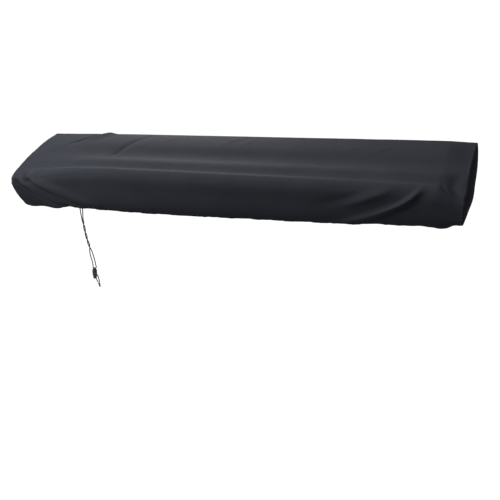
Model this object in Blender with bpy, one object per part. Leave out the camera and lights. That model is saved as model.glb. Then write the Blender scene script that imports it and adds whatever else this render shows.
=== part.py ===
"""Fitted dust cover for a slim full-length digital piano, as it hangs over the instrument.

Metres, +Z up, +X along the cover to the player's right, +Y to the back. The origin is the underside of the
cloth at the middle of its top. The cloth is one long body panel (back wall, top and front wall) with a shaped
panel at each end, open below, and a drawcord in the hem with a cord lock and a knot.
"""

from collections import namedtuple
from math import cos, exp, pi, radians, sin

import bmesh
import bpy
import numpy as np
from mathutils import Matrix, Vector

# ---- Driving dimensions ----------------------------------------------------------------------------

HALF_LENGTH = 0.680          # middle of the cover to each end seam
CLOTH = 0.0020               # thickness of the draped cloth
HEM_CLOTH = 0.0036           # thickness of the folded hem with its cord channel
SEAM_GAP = 0.0010            # between the body panel and an end panel inside its edge
BACK_LEVEL = 0.0235          # height of the top back edge above the origin
CORD_RADIUS = 0.0015

# ---- The section across the cover ------------------------------------------------------------------
# A row for each line that runs along the cover, from the back hem over the top to the front hem. y and z are
# given where the instrument holds the cloth up, at the left end and at the right end; z is measured from the
# level of the top back edge. A tuck is how far the line stops short of the end seam, as where the hem is drawn
# in, or how far it reaches past the seam when negative, and steps is the number of mesh rows to the next line.

GirthRow = namedtuple(
    "GirthRow", "line held_y held_z left_y left_z right_y right_z left_tuck right_tuck cloth steps"
)

GIRTH = [
    GirthRow("back hem", 0.091, -0.168, 0.088, -0.170, 0.086, -0.162, 0.018, 0.020, HEM_CLOTH, 1),
    GirthRow("back roll", 0.107, -0.165, 0.102, -0.167, 0.102, -0.158, 0.010, 0.014, HEM_CLOTH, 1),
    GirthRow("back turn", 0.118, -0.149, 0.112, -0.151, 0.113, -0.144, 0.003, 0.009, CLOTH, 3),
    GirthRow("back wall", 0.123, -0.085, 0.119, -0.085, 0.123, -0.085, -0.002, 0.000, CLOTH, 4),
    GirthRow("back shoulder", 0.1215, -0.006, 0.118, -0.007, 0.119, -0.008, 0.002, -0.003, CLOTH, 1),
    GirthRow("back edge", 0.1165, 0.0046, 0.114, 0.0026, 0.114, 0.0020, 0.003, -0.003, CLOTH, 1),
    GirthRow("panel back", 0.103, 0.0066, 0.100, 0.0012, 0.100, -0.0014, 0.002, -0.002, CLOTH, 3),
    GirthRow("panel front", 0.031, -0.0022, 0.032, -0.0088, 0.032, -0.0185, 0.003, 0.000, CLOTH, 2),
    GirthRow("step foot", -0.008, -0.0204, -0.010, -0.0200, -0.010, -0.0318, 0.003, 0.001, CLOTH, 1),
    GirthRow("key back", -0.020, -0.0226, -0.022, -0.0234, -0.022, -0.0360, 0.002, 0.001, CLOTH, 2),
    GirthRow("key front", -0.057, -0.0224, -0.060, -0.0378, -0.060, -0.0490, -0.001, 0.000, CLOTH, 2),
    GirthRow("dip", -0.089, -0.0345, -0.090, -0.0500, -0.090, -0.0600, -0.002, 0.000, CLOTH, 1),
    GirthRow("ridge", -0.112, -0.0314, -0.114, -0.0608, -0.112, -0.0658, -0.003, 0.000, CLOTH, 1),
    GirthRow("front shoulder", -0.1192, -0.0362, -0.1265, -0.0688, -0.1218, -0.0718, -0.003, -0.001, CLOTH, 1),
    GirthRow("front brow", -0.1262, -0.0475, -0.1312, -0.0790, -0.1256, -0.0800, -0.003, -0.001, CLOTH, 1),
    GirthRow("front wall", -0.1300, -0.087, -0.1326, -0.0950, -0.1276, -0.0960, -0.004, -0.001, CLOTH, 4),
    GirthRow("front turn", -0.121, -0.150, -0.1105, -0.1550, -0.118, -0.1228, -0.002, 0.000, CLOTH, 2),
    GirthRow("front roll", -0.109, -0.166, -0.0990, -0.1748, -0.106, -0.1312, 0.002, 0.002, HEM_CLOTH, 1),
    GirthRow("front hem", -0.093, -0.170, -0.0842, -0.1780, -0.090, -0.1348, 0.011, 0.007, HEM_CLOTH, 0),
]

# A row for each place along the cover: how far the cloth has slumped from the held section towards that of
# the nearer end, how much higher and further in its front hem lies, and the length of the mesh steps up to
# the next row.
Station = namedtuple("Station", "x slump rise inset step")

STATIONS = [
    Station(-0.680, 1.00, 0.000, 0.000, 0.0115),
    Station(-0.640, 0.93, 0.000, 0.000, 0.0115),
    Station(-0.580, 0.68, 0.000, 0.000, 0.0115),
    Station(-0.520, 0.42, 0.000, 0.000, 0.0115),
    Station(-0.400, 0.10, 0.000, 0.000, 0.0340),
    Station(-0.300, 0.00, -0.0008, 0.000, 0.0340),
    Station(0.140, 0.00, 0.008, 0.003, 0.0340),
    Station(0.330, 0.00, 0.013, 0.004, 0.0120),
    Station(0.540, 0.04, 0.020, 0.007, 0.0120),
    Station(0.615, 0.20, 0.013, 0.004, 0.0110),
    Station(0.642, 0.50, 0.006, 0.002, 0.0110),
    Station(0.661, 0.77, 0.002, 0.001, 0.0110),
    Station(0.680, 1.00, 0.000, 0.000, 0.0),
]

# The main folds of the body panel. A row for each, as a curve through three places: x along the cover and
# down, the distance along the cloth from the top back edge. rise is its height, or its depth when negative.
Fold = namedtuple("Fold", "x0 down0 x1 down1 x2 down2 width rise")

FOLDS = [
    # left front corner: two troughs from the corner to the hem, with ridges above and between them
    Fold(-0.632, 0.232, -0.550, 0.315, -0.402, 0.376, 0.0105, -0.0125),
    Fold(-0.610, 0.236, -0.524, 0.297, -0.372, 0.356, 0.0150, 0.0080),
    Fold(-0.648, 0.242, -0.598, 0.306, -0.508, 0.360, 0.0095, 0.0060),
    Fold(-0.662, 0.242, -0.628, 0.312, -0.528, 0.374, 0.0095, -0.0090),
    # back left: wrinkles that run from the back edge forward and to the left, the edge standing up between
    Fold(-0.556, 0.090, -0.508, 0.042, -0.472, 0.000, 0.0110, -0.0045),
    Fold(-0.508, 0.054, -0.470, 0.020, -0.440, -0.014, 0.0150, 0.0062),
    Fold(-0.462, 0.070, -0.440, 0.040, -0.418, 0.010, 0.0090, -0.0018),
    Fold(-0.362, 0.138, -0.316, 0.082, -0.262, 0.024, 0.0110, -0.0024),
    # right front: a taut ridge that runs down to the left over a trough, then a softer ridge and trough
    Fold(0.584, 0.250, 0.512, 0.310, 0.366, 0.371, 0.0088, 0.0086),
    Fold(0.604, 0.260, 0.546, 0.308, 0.460, 0.356, 0.0080, -0.0036),
    Fold(0.516, 0.254, 0.462, 0.280, 0.396, 0.307, 0.0140, 0.0046),
    Fold(0.442, 0.268, 0.390, 0.290, 0.328, 0.310, 0.0130, -0.0016),
    # right end: the soft hollow past the end of the instrument
    Fold(0.662, 0.150, 0.651, 0.198, 0.668, 0.234, 0.0120, -0.0030),
]
FOLD_LEGS = 12               # straight legs that stand for a fold's curve

# Gathers of the hem on its cord: where along the cover, how long, and how far the edge is lifted.
Gather = namedtuple("Gather", "x length lift")

GATHERS = [
    Gather(-0.658, 0.020, -0.0052),
    Gather(-0.564, 0.032, -0.0070),
    Gather(-0.488, 0.024, 0.0035),
    Gather(-0.405, 0.018, -0.0015),
    Gather(-0.060, 0.030, -0.0010),
    Gather(0.125, 0.010, 0.0020),
    Gather(0.425, 0.014, -0.0012),
    Gather(0.485, 0.030, 0.0028),
    Gather(0.585, 0.020, 0.0072),
    Gather(0.612, 0.014, 0.0036),
    Gather(0.660, 0.012, 0.0062),
]
RIPPLE_LENGTH = 0.087        # even ripple of the hem between the gathers
RIPPLE = 0.0008

# ---- End panels ------------------------------------------------------------------------------------
END_BULGE = 0.0104           # how far an end panel bellies out at mid height
END_LEAN = 0.15              # how much more of that belly lies towards the back than towards the front
END_DRAW = 0.001             # how far the drawcord pulls its hem in at mid depth
END_FULL = 1.06              # the belly ends above the hem, at the panel's height over this
END_DRAWN_FROM = 0.72        # where the drawn part starts, as a share of the panel's height

# ---- Drawcord, from the hem to the knot, its strands twisted together in the upper half ------------
STRAND_ROUTES = {
    "cord_strand_left": [
        (-0.4562, -0.1054, -0.1453), (-0.4558, -0.1067, -0.1524), (-0.4542, -0.1096, -0.1640),
        (-0.4526, -0.1120, -0.1780), (-0.4505, -0.1141, -0.1910), (-0.4491, -0.1120, -0.2040),
        (-0.4516, -0.1099, -0.2180), (-0.4539, -0.1120, -0.2310), (-0.4514, -0.1141, -0.2440),
        (-0.4484, -0.1120, -0.2570), (-0.4490, -0.1099, -0.2710), (-0.4501, -0.1105, -0.2775),
        (-0.4503, -0.1125, -0.2840), (-0.4510, -0.1151, -0.3050), (-0.4502, -0.1142, -0.3230),
        (-0.4506, -0.1144, -0.3410), (-0.4516, -0.1156, -0.3500), (-0.4515, -0.1159, -0.3562),
        (-0.4506, -0.1169, -0.3590), (-0.4492, -0.1184, -0.3599), (-0.4441, -0.1240, -0.3602),
        (-0.4390, -0.1295, -0.3604), (-0.4376, -0.1310, -0.3614), (-0.4363, -0.1318, -0.3642),
        (-0.4350, -0.1311, -0.3690), (-0.4350, -0.1312, -0.3797), (-0.4341, -0.1298, -0.3880),
        (-0.4331, -0.1285, -0.3947),
    ],
    "cord_strand_right": [
        (-0.4468, -0.1054, -0.1454), (-0.4466, -0.1067, -0.1524), (-0.4470, -0.1096, -0.1640),
        (-0.4480, -0.1120, -0.1780), (-0.4505, -0.1099, -0.1910), (-0.4533, -0.1120, -0.2040),
        (-0.4516, -0.1141, -0.2180), (-0.4497, -0.1120, -0.2310), (-0.4514, -0.1099, -0.2440),
        (-0.4526, -0.1120, -0.2570), (-0.4490, -0.1141, -0.2710), (-0.4470, -0.1135, -0.2775),
        (-0.4459, -0.1115, -0.2840), (-0.4445, -0.1091, -0.3073), (-0.4439, -0.1086, -0.3250),
        (-0.4442, -0.1089, -0.3417), (-0.4440, -0.1087, -0.3500), (-0.4474, -0.1114, -0.3552),
        (-0.4481, -0.1137, -0.3586), (-0.4463, -0.1157, -0.3599), (-0.4411, -0.1212, -0.3602),
        (-0.4360, -0.1268, -0.3604), (-0.4345, -0.1282, -0.3614), (-0.4331, -0.1286, -0.3640),
        (-0.4303, -0.1270, -0.3689), (-0.4295, -0.1264, -0.3787), (-0.4290, -0.1265, -0.3880),
        (-0.4291, -0.1269, -0.3951),
    ],
}
STRAND_POINT_SPACING = 0.0080

# ---- Cord lock: a barrel with a sprung button on top and an oval hole across it --------------------
LOCK_HOLE = Vector((-0.4426, -0.1226, -0.3602))    # centre of the hole
LOCK_TURN = radians(43)                            # the hole's front mouth turned to the right
LOCK_LEAN = radians(8)                             # the foot swung to the left
BARREL_TOP = 0.0080                                # above the centre of the hole
BARREL_FOOT = -0.0230
BARREL_RADIUS = 0.0075
FOOT_RADIUS = 0.0054
BUTTON_RADIUS = 0.0052
BUTTON_HEIGHT = 0.0062
BUTTON_GAP = 0.0004                                # under the button, above the barrel
LOCK_SIDES = 20
LOCK_EDGE = 0.0012                                 # bevel of its edges
HOLE_WIDTH = 0.0094
HOLE_HEIGHT = 0.0054

# ---- Knot at the end of the drawcord ---------------------------------------------------------------
KNOT_CENTRE = Vector((-0.4310, -0.1276, -0.4003))
KNOT_RADIUS = 0.0046
TAIL_LENGTH = 0.0100
KNOT_SIDES = 12


def clear_scene():
    """Remove every object, so that the file starts empty."""
    for thing in list(bpy.data.objects):
        bpy.data.objects.remove(thing, do_unlink=True)


def material(name, colour, roughness):
    """Return a Principled material of one colour."""
    made = bpy.data.materials.new(name)
    made.use_nodes = True
    shader = made.node_tree.nodes["Principled BSDF"]
    shader.inputs["Base Color"].default_value = (*colour, 1.0)
    shader.inputs["Roughness"].default_value = roughness
    shader.inputs["Metallic"].default_value = 0.0
    return made


def add_object(name, mesh_or_curve, look):
    """Link a named object that carries the given data and material."""
    mesh_or_curve.materials.append(look)
    made = bpy.data.objects.new(name, mesh_or_curve)
    bpy.context.scene.collection.objects.link(made)
    return made


def hermite(places, values, tangents, at):
    """Read the cubic curve through (places, values) that has the given tangents there."""
    at = np.clip(np.asarray(at, float), places[0], places[-1])
    k = np.clip(np.searchsorted(places, at, side="right") - 1, 0, len(places) - 2)
    gap = places[k + 1] - places[k]
    t = (at - places[k]) / gap
    return (
        values[k] * (1 + 2 * t) * (1 - t) ** 2
        + tangents[k] * gap * t * (1 - t) ** 2
        + values[k + 1] * t * t * (3 - 2 * t)
        + tangents[k + 1] * gap * t * t * (t - 1)
    )


def level_curve(places, values, at):
    """Read a smooth curve that stays between neighbouring values, so level stretches stay level."""
    places = np.asarray(places, float)
    values = np.asarray(values, float)
    steps = np.diff(places)
    slopes = np.diff(values) / steps
    tangents = np.zeros(len(places))
    tangents[0], tangents[-1] = slopes[0], slopes[-1]
    for i in range(1, len(places) - 1):
        if slopes[i - 1] * slopes[i] > 0:
            before, after = 2 * steps[i] + steps[i - 1], steps[i] + 2 * steps[i - 1]
            tangents[i] = (before + after) / (before / slopes[i - 1] + after / slopes[i])
    return hermite(places, values, tangents, at)


def rounded_curve(places, values, at):
    """Read a rounded curve through (places, values), for outlines that turn corners."""
    places = np.asarray(places, float)
    values = np.asarray(values, float)
    gaps = np.diff(places)
    slopes = np.diff(values) / gaps
    tangents = np.empty(len(places))
    tangents[0], tangents[-1] = slopes[0], slopes[-1]
    tangents[1:-1] = (slopes[:-1] * gaps[1:] + slopes[1:] * gaps[:-1]) / (gaps[1:] + gaps[:-1])
    return hermite(places, values, tangents, at)


def column(rows, name):
    """Return one named column of a table."""
    return np.array([getattr(row, name) for row in rows], float)


def held_distances():
    """Return the distance along the held section to each girth row, measured from the top back edge."""
    runs = np.hypot(np.diff(column(GIRTH, "held_y")), np.diff(column(GIRTH, "held_z")))
    along = np.concatenate([[0.0], np.cumsum(runs)])
    edge = [row.line for row in GIRTH].index("back edge")
    return along - along[edge]


def girth_positions():
    """Return the distances along the cloth of all mesh rows."""
    knots = held_distances()
    rows = []
    for i, row in enumerate(GIRTH[:-1]):
        rows += list(np.linspace(knots[i], knots[i + 1], row.steps, endpoint=False))
    return np.array(rows + [knots[-1]])


def length_positions():
    """Return the places along the cover of all mesh columns, close together where the folds are."""
    places = []
    for this, after in zip(STATIONS[:-1], STATIONS[1:]):
        count = max(1, round((after.x - this.x) / this.step))
        places += list(np.linspace(this.x, after.x, count, endpoint=False))
    return np.array(places + [STATIONS[-1].x])


class Drape:
    """The outer face of the body panel, as a smooth function of the place along it and across it."""

    def __init__(self):
        self.knots = held_distances()
        self.stations = column(STATIONS, "x")
        self.front = self.knots[-1]
        self.fold_paths = [self.fold_path(fold) for fold in FOLDS]

    def fold_path(self, fold):
        """Return the points of a fold's curve, through its three places."""
        t = np.linspace(0.0, 1.0, FOLD_LEGS + 1)
        mid_x = 2 * fold.x1 - (fold.x0 + fold.x2) / 2
        mid_down = 2 * fold.down1 - (fold.down0 + fold.down2) / 2
        weights = ((1 - t) ** 2, 2 * t * (1 - t), t * t)
        xs = weights[0] * fold.x0 + weights[1] * mid_x + weights[2] * fold.x2
        downs = weights[0] * fold.down0 + weights[1] * mid_down + weights[2] * fold.down2
        return np.stack([xs, downs], 1)

    def section(self, x, down):
        """Return y and z of the unfolded cloth."""
        slump = float(level_curve(self.stations, column(STATIONS, "slump"), x))
        end = "left" if x < 0 else "right"
        held_y = rounded_curve(self.knots, column(GIRTH, "held_y"), down)
        held_z = rounded_curve(self.knots, column(GIRTH, "held_z"), down)
        end_y = rounded_curve(self.knots, column(GIRTH, end + "_y"), down)
        end_z = rounded_curve(self.knots, column(GIRTH, end + "_z"), down)
        low = self.front_share(down)
        rise = float(level_curve(self.stations, column(STATIONS, "rise"), x)) * low
        inset = float(level_curve(self.stations, column(STATIONS, "inset"), x)) * low
        y = held_y + (end_y - held_y) * slump + inset
        z = held_z + (end_z - held_z) * slump + rise + self.hem_lift(x, down)
        return y, z + BACK_LEVEL

    def front_share(self, down):
        """Return 0 on the top and the back, growing to 1 at the front hem."""
        ridge = self.knots[[row.line for row in GIRTH].index("front shoulder")]
        t = np.clip((down - ridge) / (self.front - ridge), 0.0, 1.0)
        return t * t * (3 - 2 * t)

    def hem_lift(self, x, down):
        """Return the lift of the edge by the gathers and the ripple, which die out up the walls."""
        edge = RIPPLE * sin(2 * pi * x / RIPPLE_LENGTH)
        for gather in GATHERS:
            edge += gather.lift * exp(-(((x - gather.x) / gather.length) ** 2))
        from_hem = np.minimum(self.front - down, down - self.knots[0])
        return edge * np.exp(-((np.maximum(from_hem, 0.0) / 0.030) ** 2))

    def fold_height(self, x, down):
        """Return how far the folds raise or sink the cloth, measured along its outward normal."""
        height = 0.0
        for fold, path in zip(FOLDS, self.fold_paths):
            a, b = path[:-1], path[1:]
            leg = b - a
            t = ((x - a[:, 0]) * leg[:, 0] + (down - a[:, 1]) * leg[:, 1]) / (leg**2).sum(1)
            t = np.clip(t, 0.0, 1.0)
            apart = np.hypot(x - a[:, 0] - t * leg[:, 0], down - a[:, 1] - t * leg[:, 1])
            near = int(np.argmin(apart))
            along = (near + t[near]) / FOLD_LEGS
            fade = sin(pi * (0.08 + 0.84 * along)) ** 0.8
            height += fold.rise * fade * exp(-((apart[near] / fold.width) ** 2))
        return height

    def tuck(self, x, down):
        """Return x with the hem's corners drawn in from the end seam."""
        name, way = ("left_tuck", -1) if x < 0 else ("right_tuck", 1)
        short = float(rounded_curve(self.knots, column(GIRTH, name), np.array([down]))[0])
        return x - way * short * (abs(x) / HALF_LENGTH) ** 24

    def bare_point(self, x, down):
        """Return a point of the outer face before folding."""
        y, z = self.section(x, np.array([down]))
        return Vector((self.tuck(x, down), float(y[0]), float(z[0])))

    def normal(self, x, down):
        """Return the outward normal of the unfolded cloth."""
        step = 0.003
        left, right = max(x - step, -HALF_LENGTH), min(x + step, HALF_LENGTH)
        up, low = max(down - step, self.knots[0]), min(down + step, self.front)
        along = self.bare_point(right, down) - self.bare_point(left, down)
        across = self.bare_point(x, low) - self.bare_point(x, up)
        return across.cross(along).normalized()

    def point(self, x, down, depth=0.0):
        """Return a point of the cloth, depth inwards from its outer face."""
        folded = self.fold_height(x, down) * self.seam_fade(x)
        return self.bare_point(x, down) + self.normal(x, down) * (folded - depth)

    def seam_fade(self, x):
        """Return how freely the cloth can fold: nothing at an end seam, all of it 12 mm away."""
        return min(1.0, (HALF_LENGTH - abs(x)) / 0.012)

    def cloth(self, down):
        """Return the cloth's thickness at this distance, thicker in the folded hem."""
        return float(np.interp(down, self.knots, column(GIRTH, "cloth")))


def sheet_mesh(name, outer, inner):
    """Close two equal grids of points, outer and inner, into the mesh of one sheet."""
    rows, cols = len(outer), len(outer[0])
    work = bmesh.new()
    tops = [[work.verts.new(p) for p in line] for line in outer]
    lows = [[work.verts.new(p) for p in line] for line in inner]
    for i in range(rows - 1):
        for j in range(cols - 1):
            work.faces.new((tops[i][j], tops[i][j + 1], tops[i + 1][j + 1], tops[i + 1][j]))
            work.faces.new((lows[i][j], lows[i + 1][j], lows[i + 1][j + 1], lows[i][j + 1]))
    rim = [(0, j) for j in range(cols)] + [(i, cols - 1) for i in range(1, rows)]
    rim += [(rows - 1, j) for j in range(cols - 2, -1, -1)] + [(i, 0) for i in range(rows - 2, 0, -1)]
    for (i, j), (k, m) in zip(rim, rim[1:] + rim[:1]):
        work.faces.new((tops[k][m], tops[i][j], lows[i][j], lows[k][m]))
    bmesh.ops.recalc_face_normals(work, faces=work.faces)
    mesh = bpy.data.meshes.new(name)
    work.to_mesh(mesh)
    work.free()
    mesh.shade_smooth()
    mesh.set_sharp_from_angle(angle=radians(50))
    return mesh


def body_panel(drape, look):
    """Make the long panel: back wall, top and front wall in one piece of cloth."""
    downs = girth_positions()
    outer, inner = [], []
    for x in length_positions():
        outer.append([drape.point(x, down) for down in downs])
        inner.append([drape.point(x, down, drape.cloth(down)) for down in downs])
    return add_object("body_panel", sheet_mesh("body_panel", outer, inner), look)


def coons_grid(rim, first, last):
    """Span a chain of points, hem to hem over the top, with a grid of rows from its top to its hem."""
    back, top, front = rim[: first + 1][::-1], rim[first: last + 1], rim[last:]
    wide, high = len(top) - 1, len(back) - 1
    hem = [back[-1].lerp(front[-1], i / wide) for i in range(wide + 1)]
    grid = []
    for i in range(wide + 1):
        u = i / wide
        line = []
        for j in range(high + 1):
            v = j / high
            line.append(
                top[i] * (1 - v) + hem[i] * v + back[j] * (1 - u) + front[j] * u
                - top[0] * ((1 - u) * (1 - v)) - top[-1] * (u * (1 - v))
                - hem[0] * ((1 - u) * v) - hem[-1] * (u * v)
            )
        grid.append(line)
    return grid


def end_belly(u, v):
    """Return how far out an end panel stands, u across its depth and v from its top to its hem."""
    arch = sin(pi * u)
    belly = END_BULGE * arch**0.5 * max(0.0, sin(pi * min(1.0, v * END_FULL))) ** 0.8
    belly *= 1.0 + END_LEAN * cos(pi * u)
    drawn = END_DRAW * arch**1.5 * max(0.0, (v - END_DRAWN_FROM) / (1.0 - END_DRAWN_FROM)) ** 1.6
    return belly - drawn


def end_panel(drape, side, look):
    """Make the panel that closes one end, just within the edge of the body panel, side -1 or 1."""
    downs = girth_positions()
    lines = [row.line for row in GIRTH]
    first = int(np.argmin(abs(downs - drape.knots[lines.index("back shoulder")])))
    last = int(np.argmin(abs(downs - drape.knots[lines.index("front shoulder")])))
    faces = []
    for x in (side * HALF_LENGTH, side * (HALF_LENGTH - CLOTH)):
        rim = [drape.point(x, down, drape.cloth(down) + SEAM_GAP) for down in downs]
        grid = coons_grid(rim, first, last)
        for i, line in enumerate(grid):
            for j, point in enumerate(line):
                point.x += side * end_belly(i / (len(grid) - 1), j / (len(line) - 1))
        faces.append(grid)
    name = "end_panel_left" if side < 0 else "end_panel_right"
    return add_object(name, sheet_mesh(name, *faces), look)


def smooth_route(points, spacing):
    """Return points on a smooth curve through the route's points, closer together in its short legs."""
    places = [Vector(p) for p in points]
    legs = [(b - a).length for a, b in zip(places[:-1], places[1:])]
    knots = np.concatenate([[0.0], np.cumsum(legs)])
    wanted = [0.0]
    for start, leg in zip(knots, legs):
        parts = max(1, round(leg / spacing))
        wanted += [start + leg * (k + 1) / parts for k in range(parts)]
    axes = [rounded_curve(knots, [p[axis] for p in places], np.array(wanted)) for axis in range(3)]
    return [Vector(place) for place in zip(*axes)]


def cord_strand(name, route, look):
    """Make one strand of the drawcord as a round tube with closed ends."""
    curve = bpy.data.curves.new(name, "CURVE")
    curve.dimensions = "3D"
    curve.bevel_depth = CORD_RADIUS
    curve.bevel_resolution = 2
    curve.use_fill_caps = True
    curve.render_resolution_u = 0
    points = smooth_route(route, STRAND_POINT_SPACING)
    run = curve.splines.new("POLY")
    run.points.add(len(points) - 1)
    for point, place in zip(run.points, points):
        point.co = (*place, 1.0)
    return add_object(name, curve, look)


def turned_mesh(name, profile, sides):
    """Turn a profile of (radius, height) rows, bottom to top, into a closed mesh about Z."""
    work = bmesh.new()
    rings = []
    for radius, height in profile:
        turns = [2 * pi * k / sides for k in range(sides)]
        rings.append([work.verts.new((radius * cos(a), radius * sin(a), height)) for a in turns])
    for low, high in zip(rings[:-1], rings[1:]):
        for k in range(sides):
            m = (k + 1) % sides
            work.faces.new((low[k], low[m], high[m], high[k]))
    work.faces.new(rings[0][::-1])
    work.faces.new(rings[-1])
    bmesh.ops.recalc_face_normals(work, faces=work.faces)
    mesh = bpy.data.meshes.new(name)
    work.to_mesh(mesh)
    work.free()
    mesh.shade_smooth()
    mesh.set_sharp_from_angle(angle=radians(40))
    return mesh


def oval_cutter(place):
    """Make the oval prism that cuts the hole across the cord lock, along Y of its place."""
    half_flat = (HOLE_WIDTH - HOLE_HEIGHT) / 2
    reach = BARREL_RADIUS * 1.6
    outline = []
    for centre, start in ((half_flat, -90), (-half_flat, 90)):
        for k in range(7):
            turn = radians(start + 30 * k)
            outline.append((centre + HOLE_HEIGHT / 2 * cos(turn), HOLE_HEIGHT / 2 * sin(turn)))
    work = bmesh.new()
    ends = [[work.verts.new((across, depth, up)) for across, up in outline] for depth in (-reach, reach)]
    for k in range(len(outline)):
        m = (k + 1) % len(outline)
        work.faces.new((ends[0][k], ends[0][m], ends[1][m], ends[1][k]))
    work.faces.new(ends[0])
    work.faces.new(ends[1][::-1])
    bmesh.ops.recalc_face_normals(work, faces=work.faces)
    mesh = bpy.data.meshes.new("cord_lock_hole")
    work.to_mesh(mesh)
    work.free()
    cutter = bpy.data.objects.new("cord_lock_hole", mesh)
    bpy.context.scene.collection.objects.link(cutter)
    cutter.matrix_world = place
    cutter.hide_render = True
    cutter.display_type = "WIRE"
    return cutter


def cord_lock(look):
    """Make the barrel with its cross hole, and the button that stands on it."""
    turned = Matrix.Rotation(LOCK_TURN, 4, "Z") @ Matrix.Rotation(LOCK_LEAN, 4, "Y")
    place = Matrix.Translation(LOCK_HOLE) @ turned
    barrel = [
        (FOOT_RADIUS - LOCK_EDGE, BARREL_FOOT),
        (FOOT_RADIUS, BARREL_FOOT + LOCK_EDGE),
        (BARREL_RADIUS, BARREL_TOP * 0.5 + BARREL_FOOT * 0.5),
        (BARREL_RADIUS, BARREL_TOP - LOCK_EDGE),
        (BARREL_RADIUS - LOCK_EDGE, BARREL_TOP),
    ]
    body = add_object("cord_lock_barrel", turned_mesh("cord_lock_barrel", barrel, LOCK_SIDES), look)
    body.matrix_world = place
    cut = body.modifiers.new("cross hole", "BOOLEAN")
    cut.operation = "DIFFERENCE"
    cut.object = oval_cutter(place)
    button = [
        (BUTTON_RADIUS, BARREL_TOP + BUTTON_GAP),
        (BUTTON_RADIUS, BARREL_TOP + BUTTON_HEIGHT - LOCK_EDGE),
        (BUTTON_RADIUS - LOCK_EDGE, BARREL_TOP + BUTTON_HEIGHT),
    ]
    cap = add_object("cord_lock_button", turned_mesh("cord_lock_button", button, LOCK_SIDES), look)
    cap.matrix_world = place


def cord_knot(look):
    """Make the knot as one lumpy ball with its short tail."""
    profile = [
        (CORD_RADIUS * 0.9, -KNOT_RADIUS - TAIL_LENGTH),
        (CORD_RADIUS * 1.6, -KNOT_RADIUS - TAIL_LENGTH * 0.9),
        (CORD_RADIUS * 1.4, -KNOT_RADIUS - TAIL_LENGTH * 0.2),
        (KNOT_RADIUS * 0.72, -KNOT_RADIUS * 0.75),
        (KNOT_RADIUS, -KNOT_RADIUS * 0.2),
        (KNOT_RADIUS * 0.95, KNOT_RADIUS * 0.40),
        (KNOT_RADIUS * 0.66, KNOT_RADIUS),
    ]
    knot = add_object("cord_knot", turned_mesh("cord_knot", profile, KNOT_SIDES), look)
    knot.location = KNOT_CENTRE
    knot.rotation_euler = (0.0, radians(8), 0.0)


def main():
    """Build the cover."""
    clear_scene()
    cloth = material("charcoal cloth", (0.030, 0.031, 0.037), 0.78)
    cord = material("black cord", (0.012, 0.012, 0.013), 0.85)
    plastic = material("black plastic", (0.010, 0.010, 0.011), 0.45)
    drape = Drape()
    body_panel(drape, cloth)
    end_panel(drape, -1, cloth)
    end_panel(drape, 1, cloth)
    for name, route in STRAND_ROUTES.items():
        cord_strand(name, route, cord)
    cord_lock(plastic)
    cord_knot(cord)


main()
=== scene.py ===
"""Looks of a long fitted dust cover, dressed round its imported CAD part.

Metres. +Z is up, +X runs along the cover to the right as seen from its front, and +Y runs to the back.
The origin lies under the middle of its top.
The cloth is described on its own flat pattern: x along the cover, and down, the distance along the cloth from
the top back edge, which is negative on the back wall and positive over the top to the front hem.
"""

from __future__ import annotations

import logging
from dataclasses import dataclass, field
from enum import Enum
from math import cos, pi, radians, sin
from typing import Any, NamedTuple, Sequence

import bmesh
import bpy
import numpy as np
from bpy.types import Material, Mesh, NodeSocket, Object
from mathutils import Matrix, Vector, noise

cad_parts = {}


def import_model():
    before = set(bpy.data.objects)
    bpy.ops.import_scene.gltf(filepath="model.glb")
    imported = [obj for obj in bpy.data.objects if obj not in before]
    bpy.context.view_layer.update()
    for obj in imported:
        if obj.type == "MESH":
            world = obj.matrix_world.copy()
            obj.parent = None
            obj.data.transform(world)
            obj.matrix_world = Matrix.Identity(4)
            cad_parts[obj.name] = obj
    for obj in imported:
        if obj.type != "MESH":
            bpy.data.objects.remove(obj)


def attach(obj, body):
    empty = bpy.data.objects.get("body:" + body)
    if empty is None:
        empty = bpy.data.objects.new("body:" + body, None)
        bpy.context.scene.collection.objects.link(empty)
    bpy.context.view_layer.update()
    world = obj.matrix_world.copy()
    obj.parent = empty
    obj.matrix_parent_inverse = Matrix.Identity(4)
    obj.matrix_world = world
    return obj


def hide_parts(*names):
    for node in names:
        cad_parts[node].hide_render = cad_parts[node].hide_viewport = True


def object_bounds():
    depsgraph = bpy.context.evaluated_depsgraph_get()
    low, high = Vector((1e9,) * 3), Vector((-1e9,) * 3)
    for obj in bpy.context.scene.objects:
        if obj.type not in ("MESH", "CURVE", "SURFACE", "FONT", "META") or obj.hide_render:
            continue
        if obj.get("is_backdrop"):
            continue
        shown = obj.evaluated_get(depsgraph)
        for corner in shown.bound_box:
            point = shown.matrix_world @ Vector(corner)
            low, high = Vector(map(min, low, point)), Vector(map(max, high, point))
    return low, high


Array = np.ndarray
LOG = logging.getLogger("piano_cover")
BODY = "root"
CLOTH_SLOT = "cover_cloth"
CORD_SLOT = "drawcord"
PLASTIC_SLOT = "lock_plastic"
PATTERN = "pattern"
CRISP = radians(35)


# ---- Shader maths ----


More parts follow.
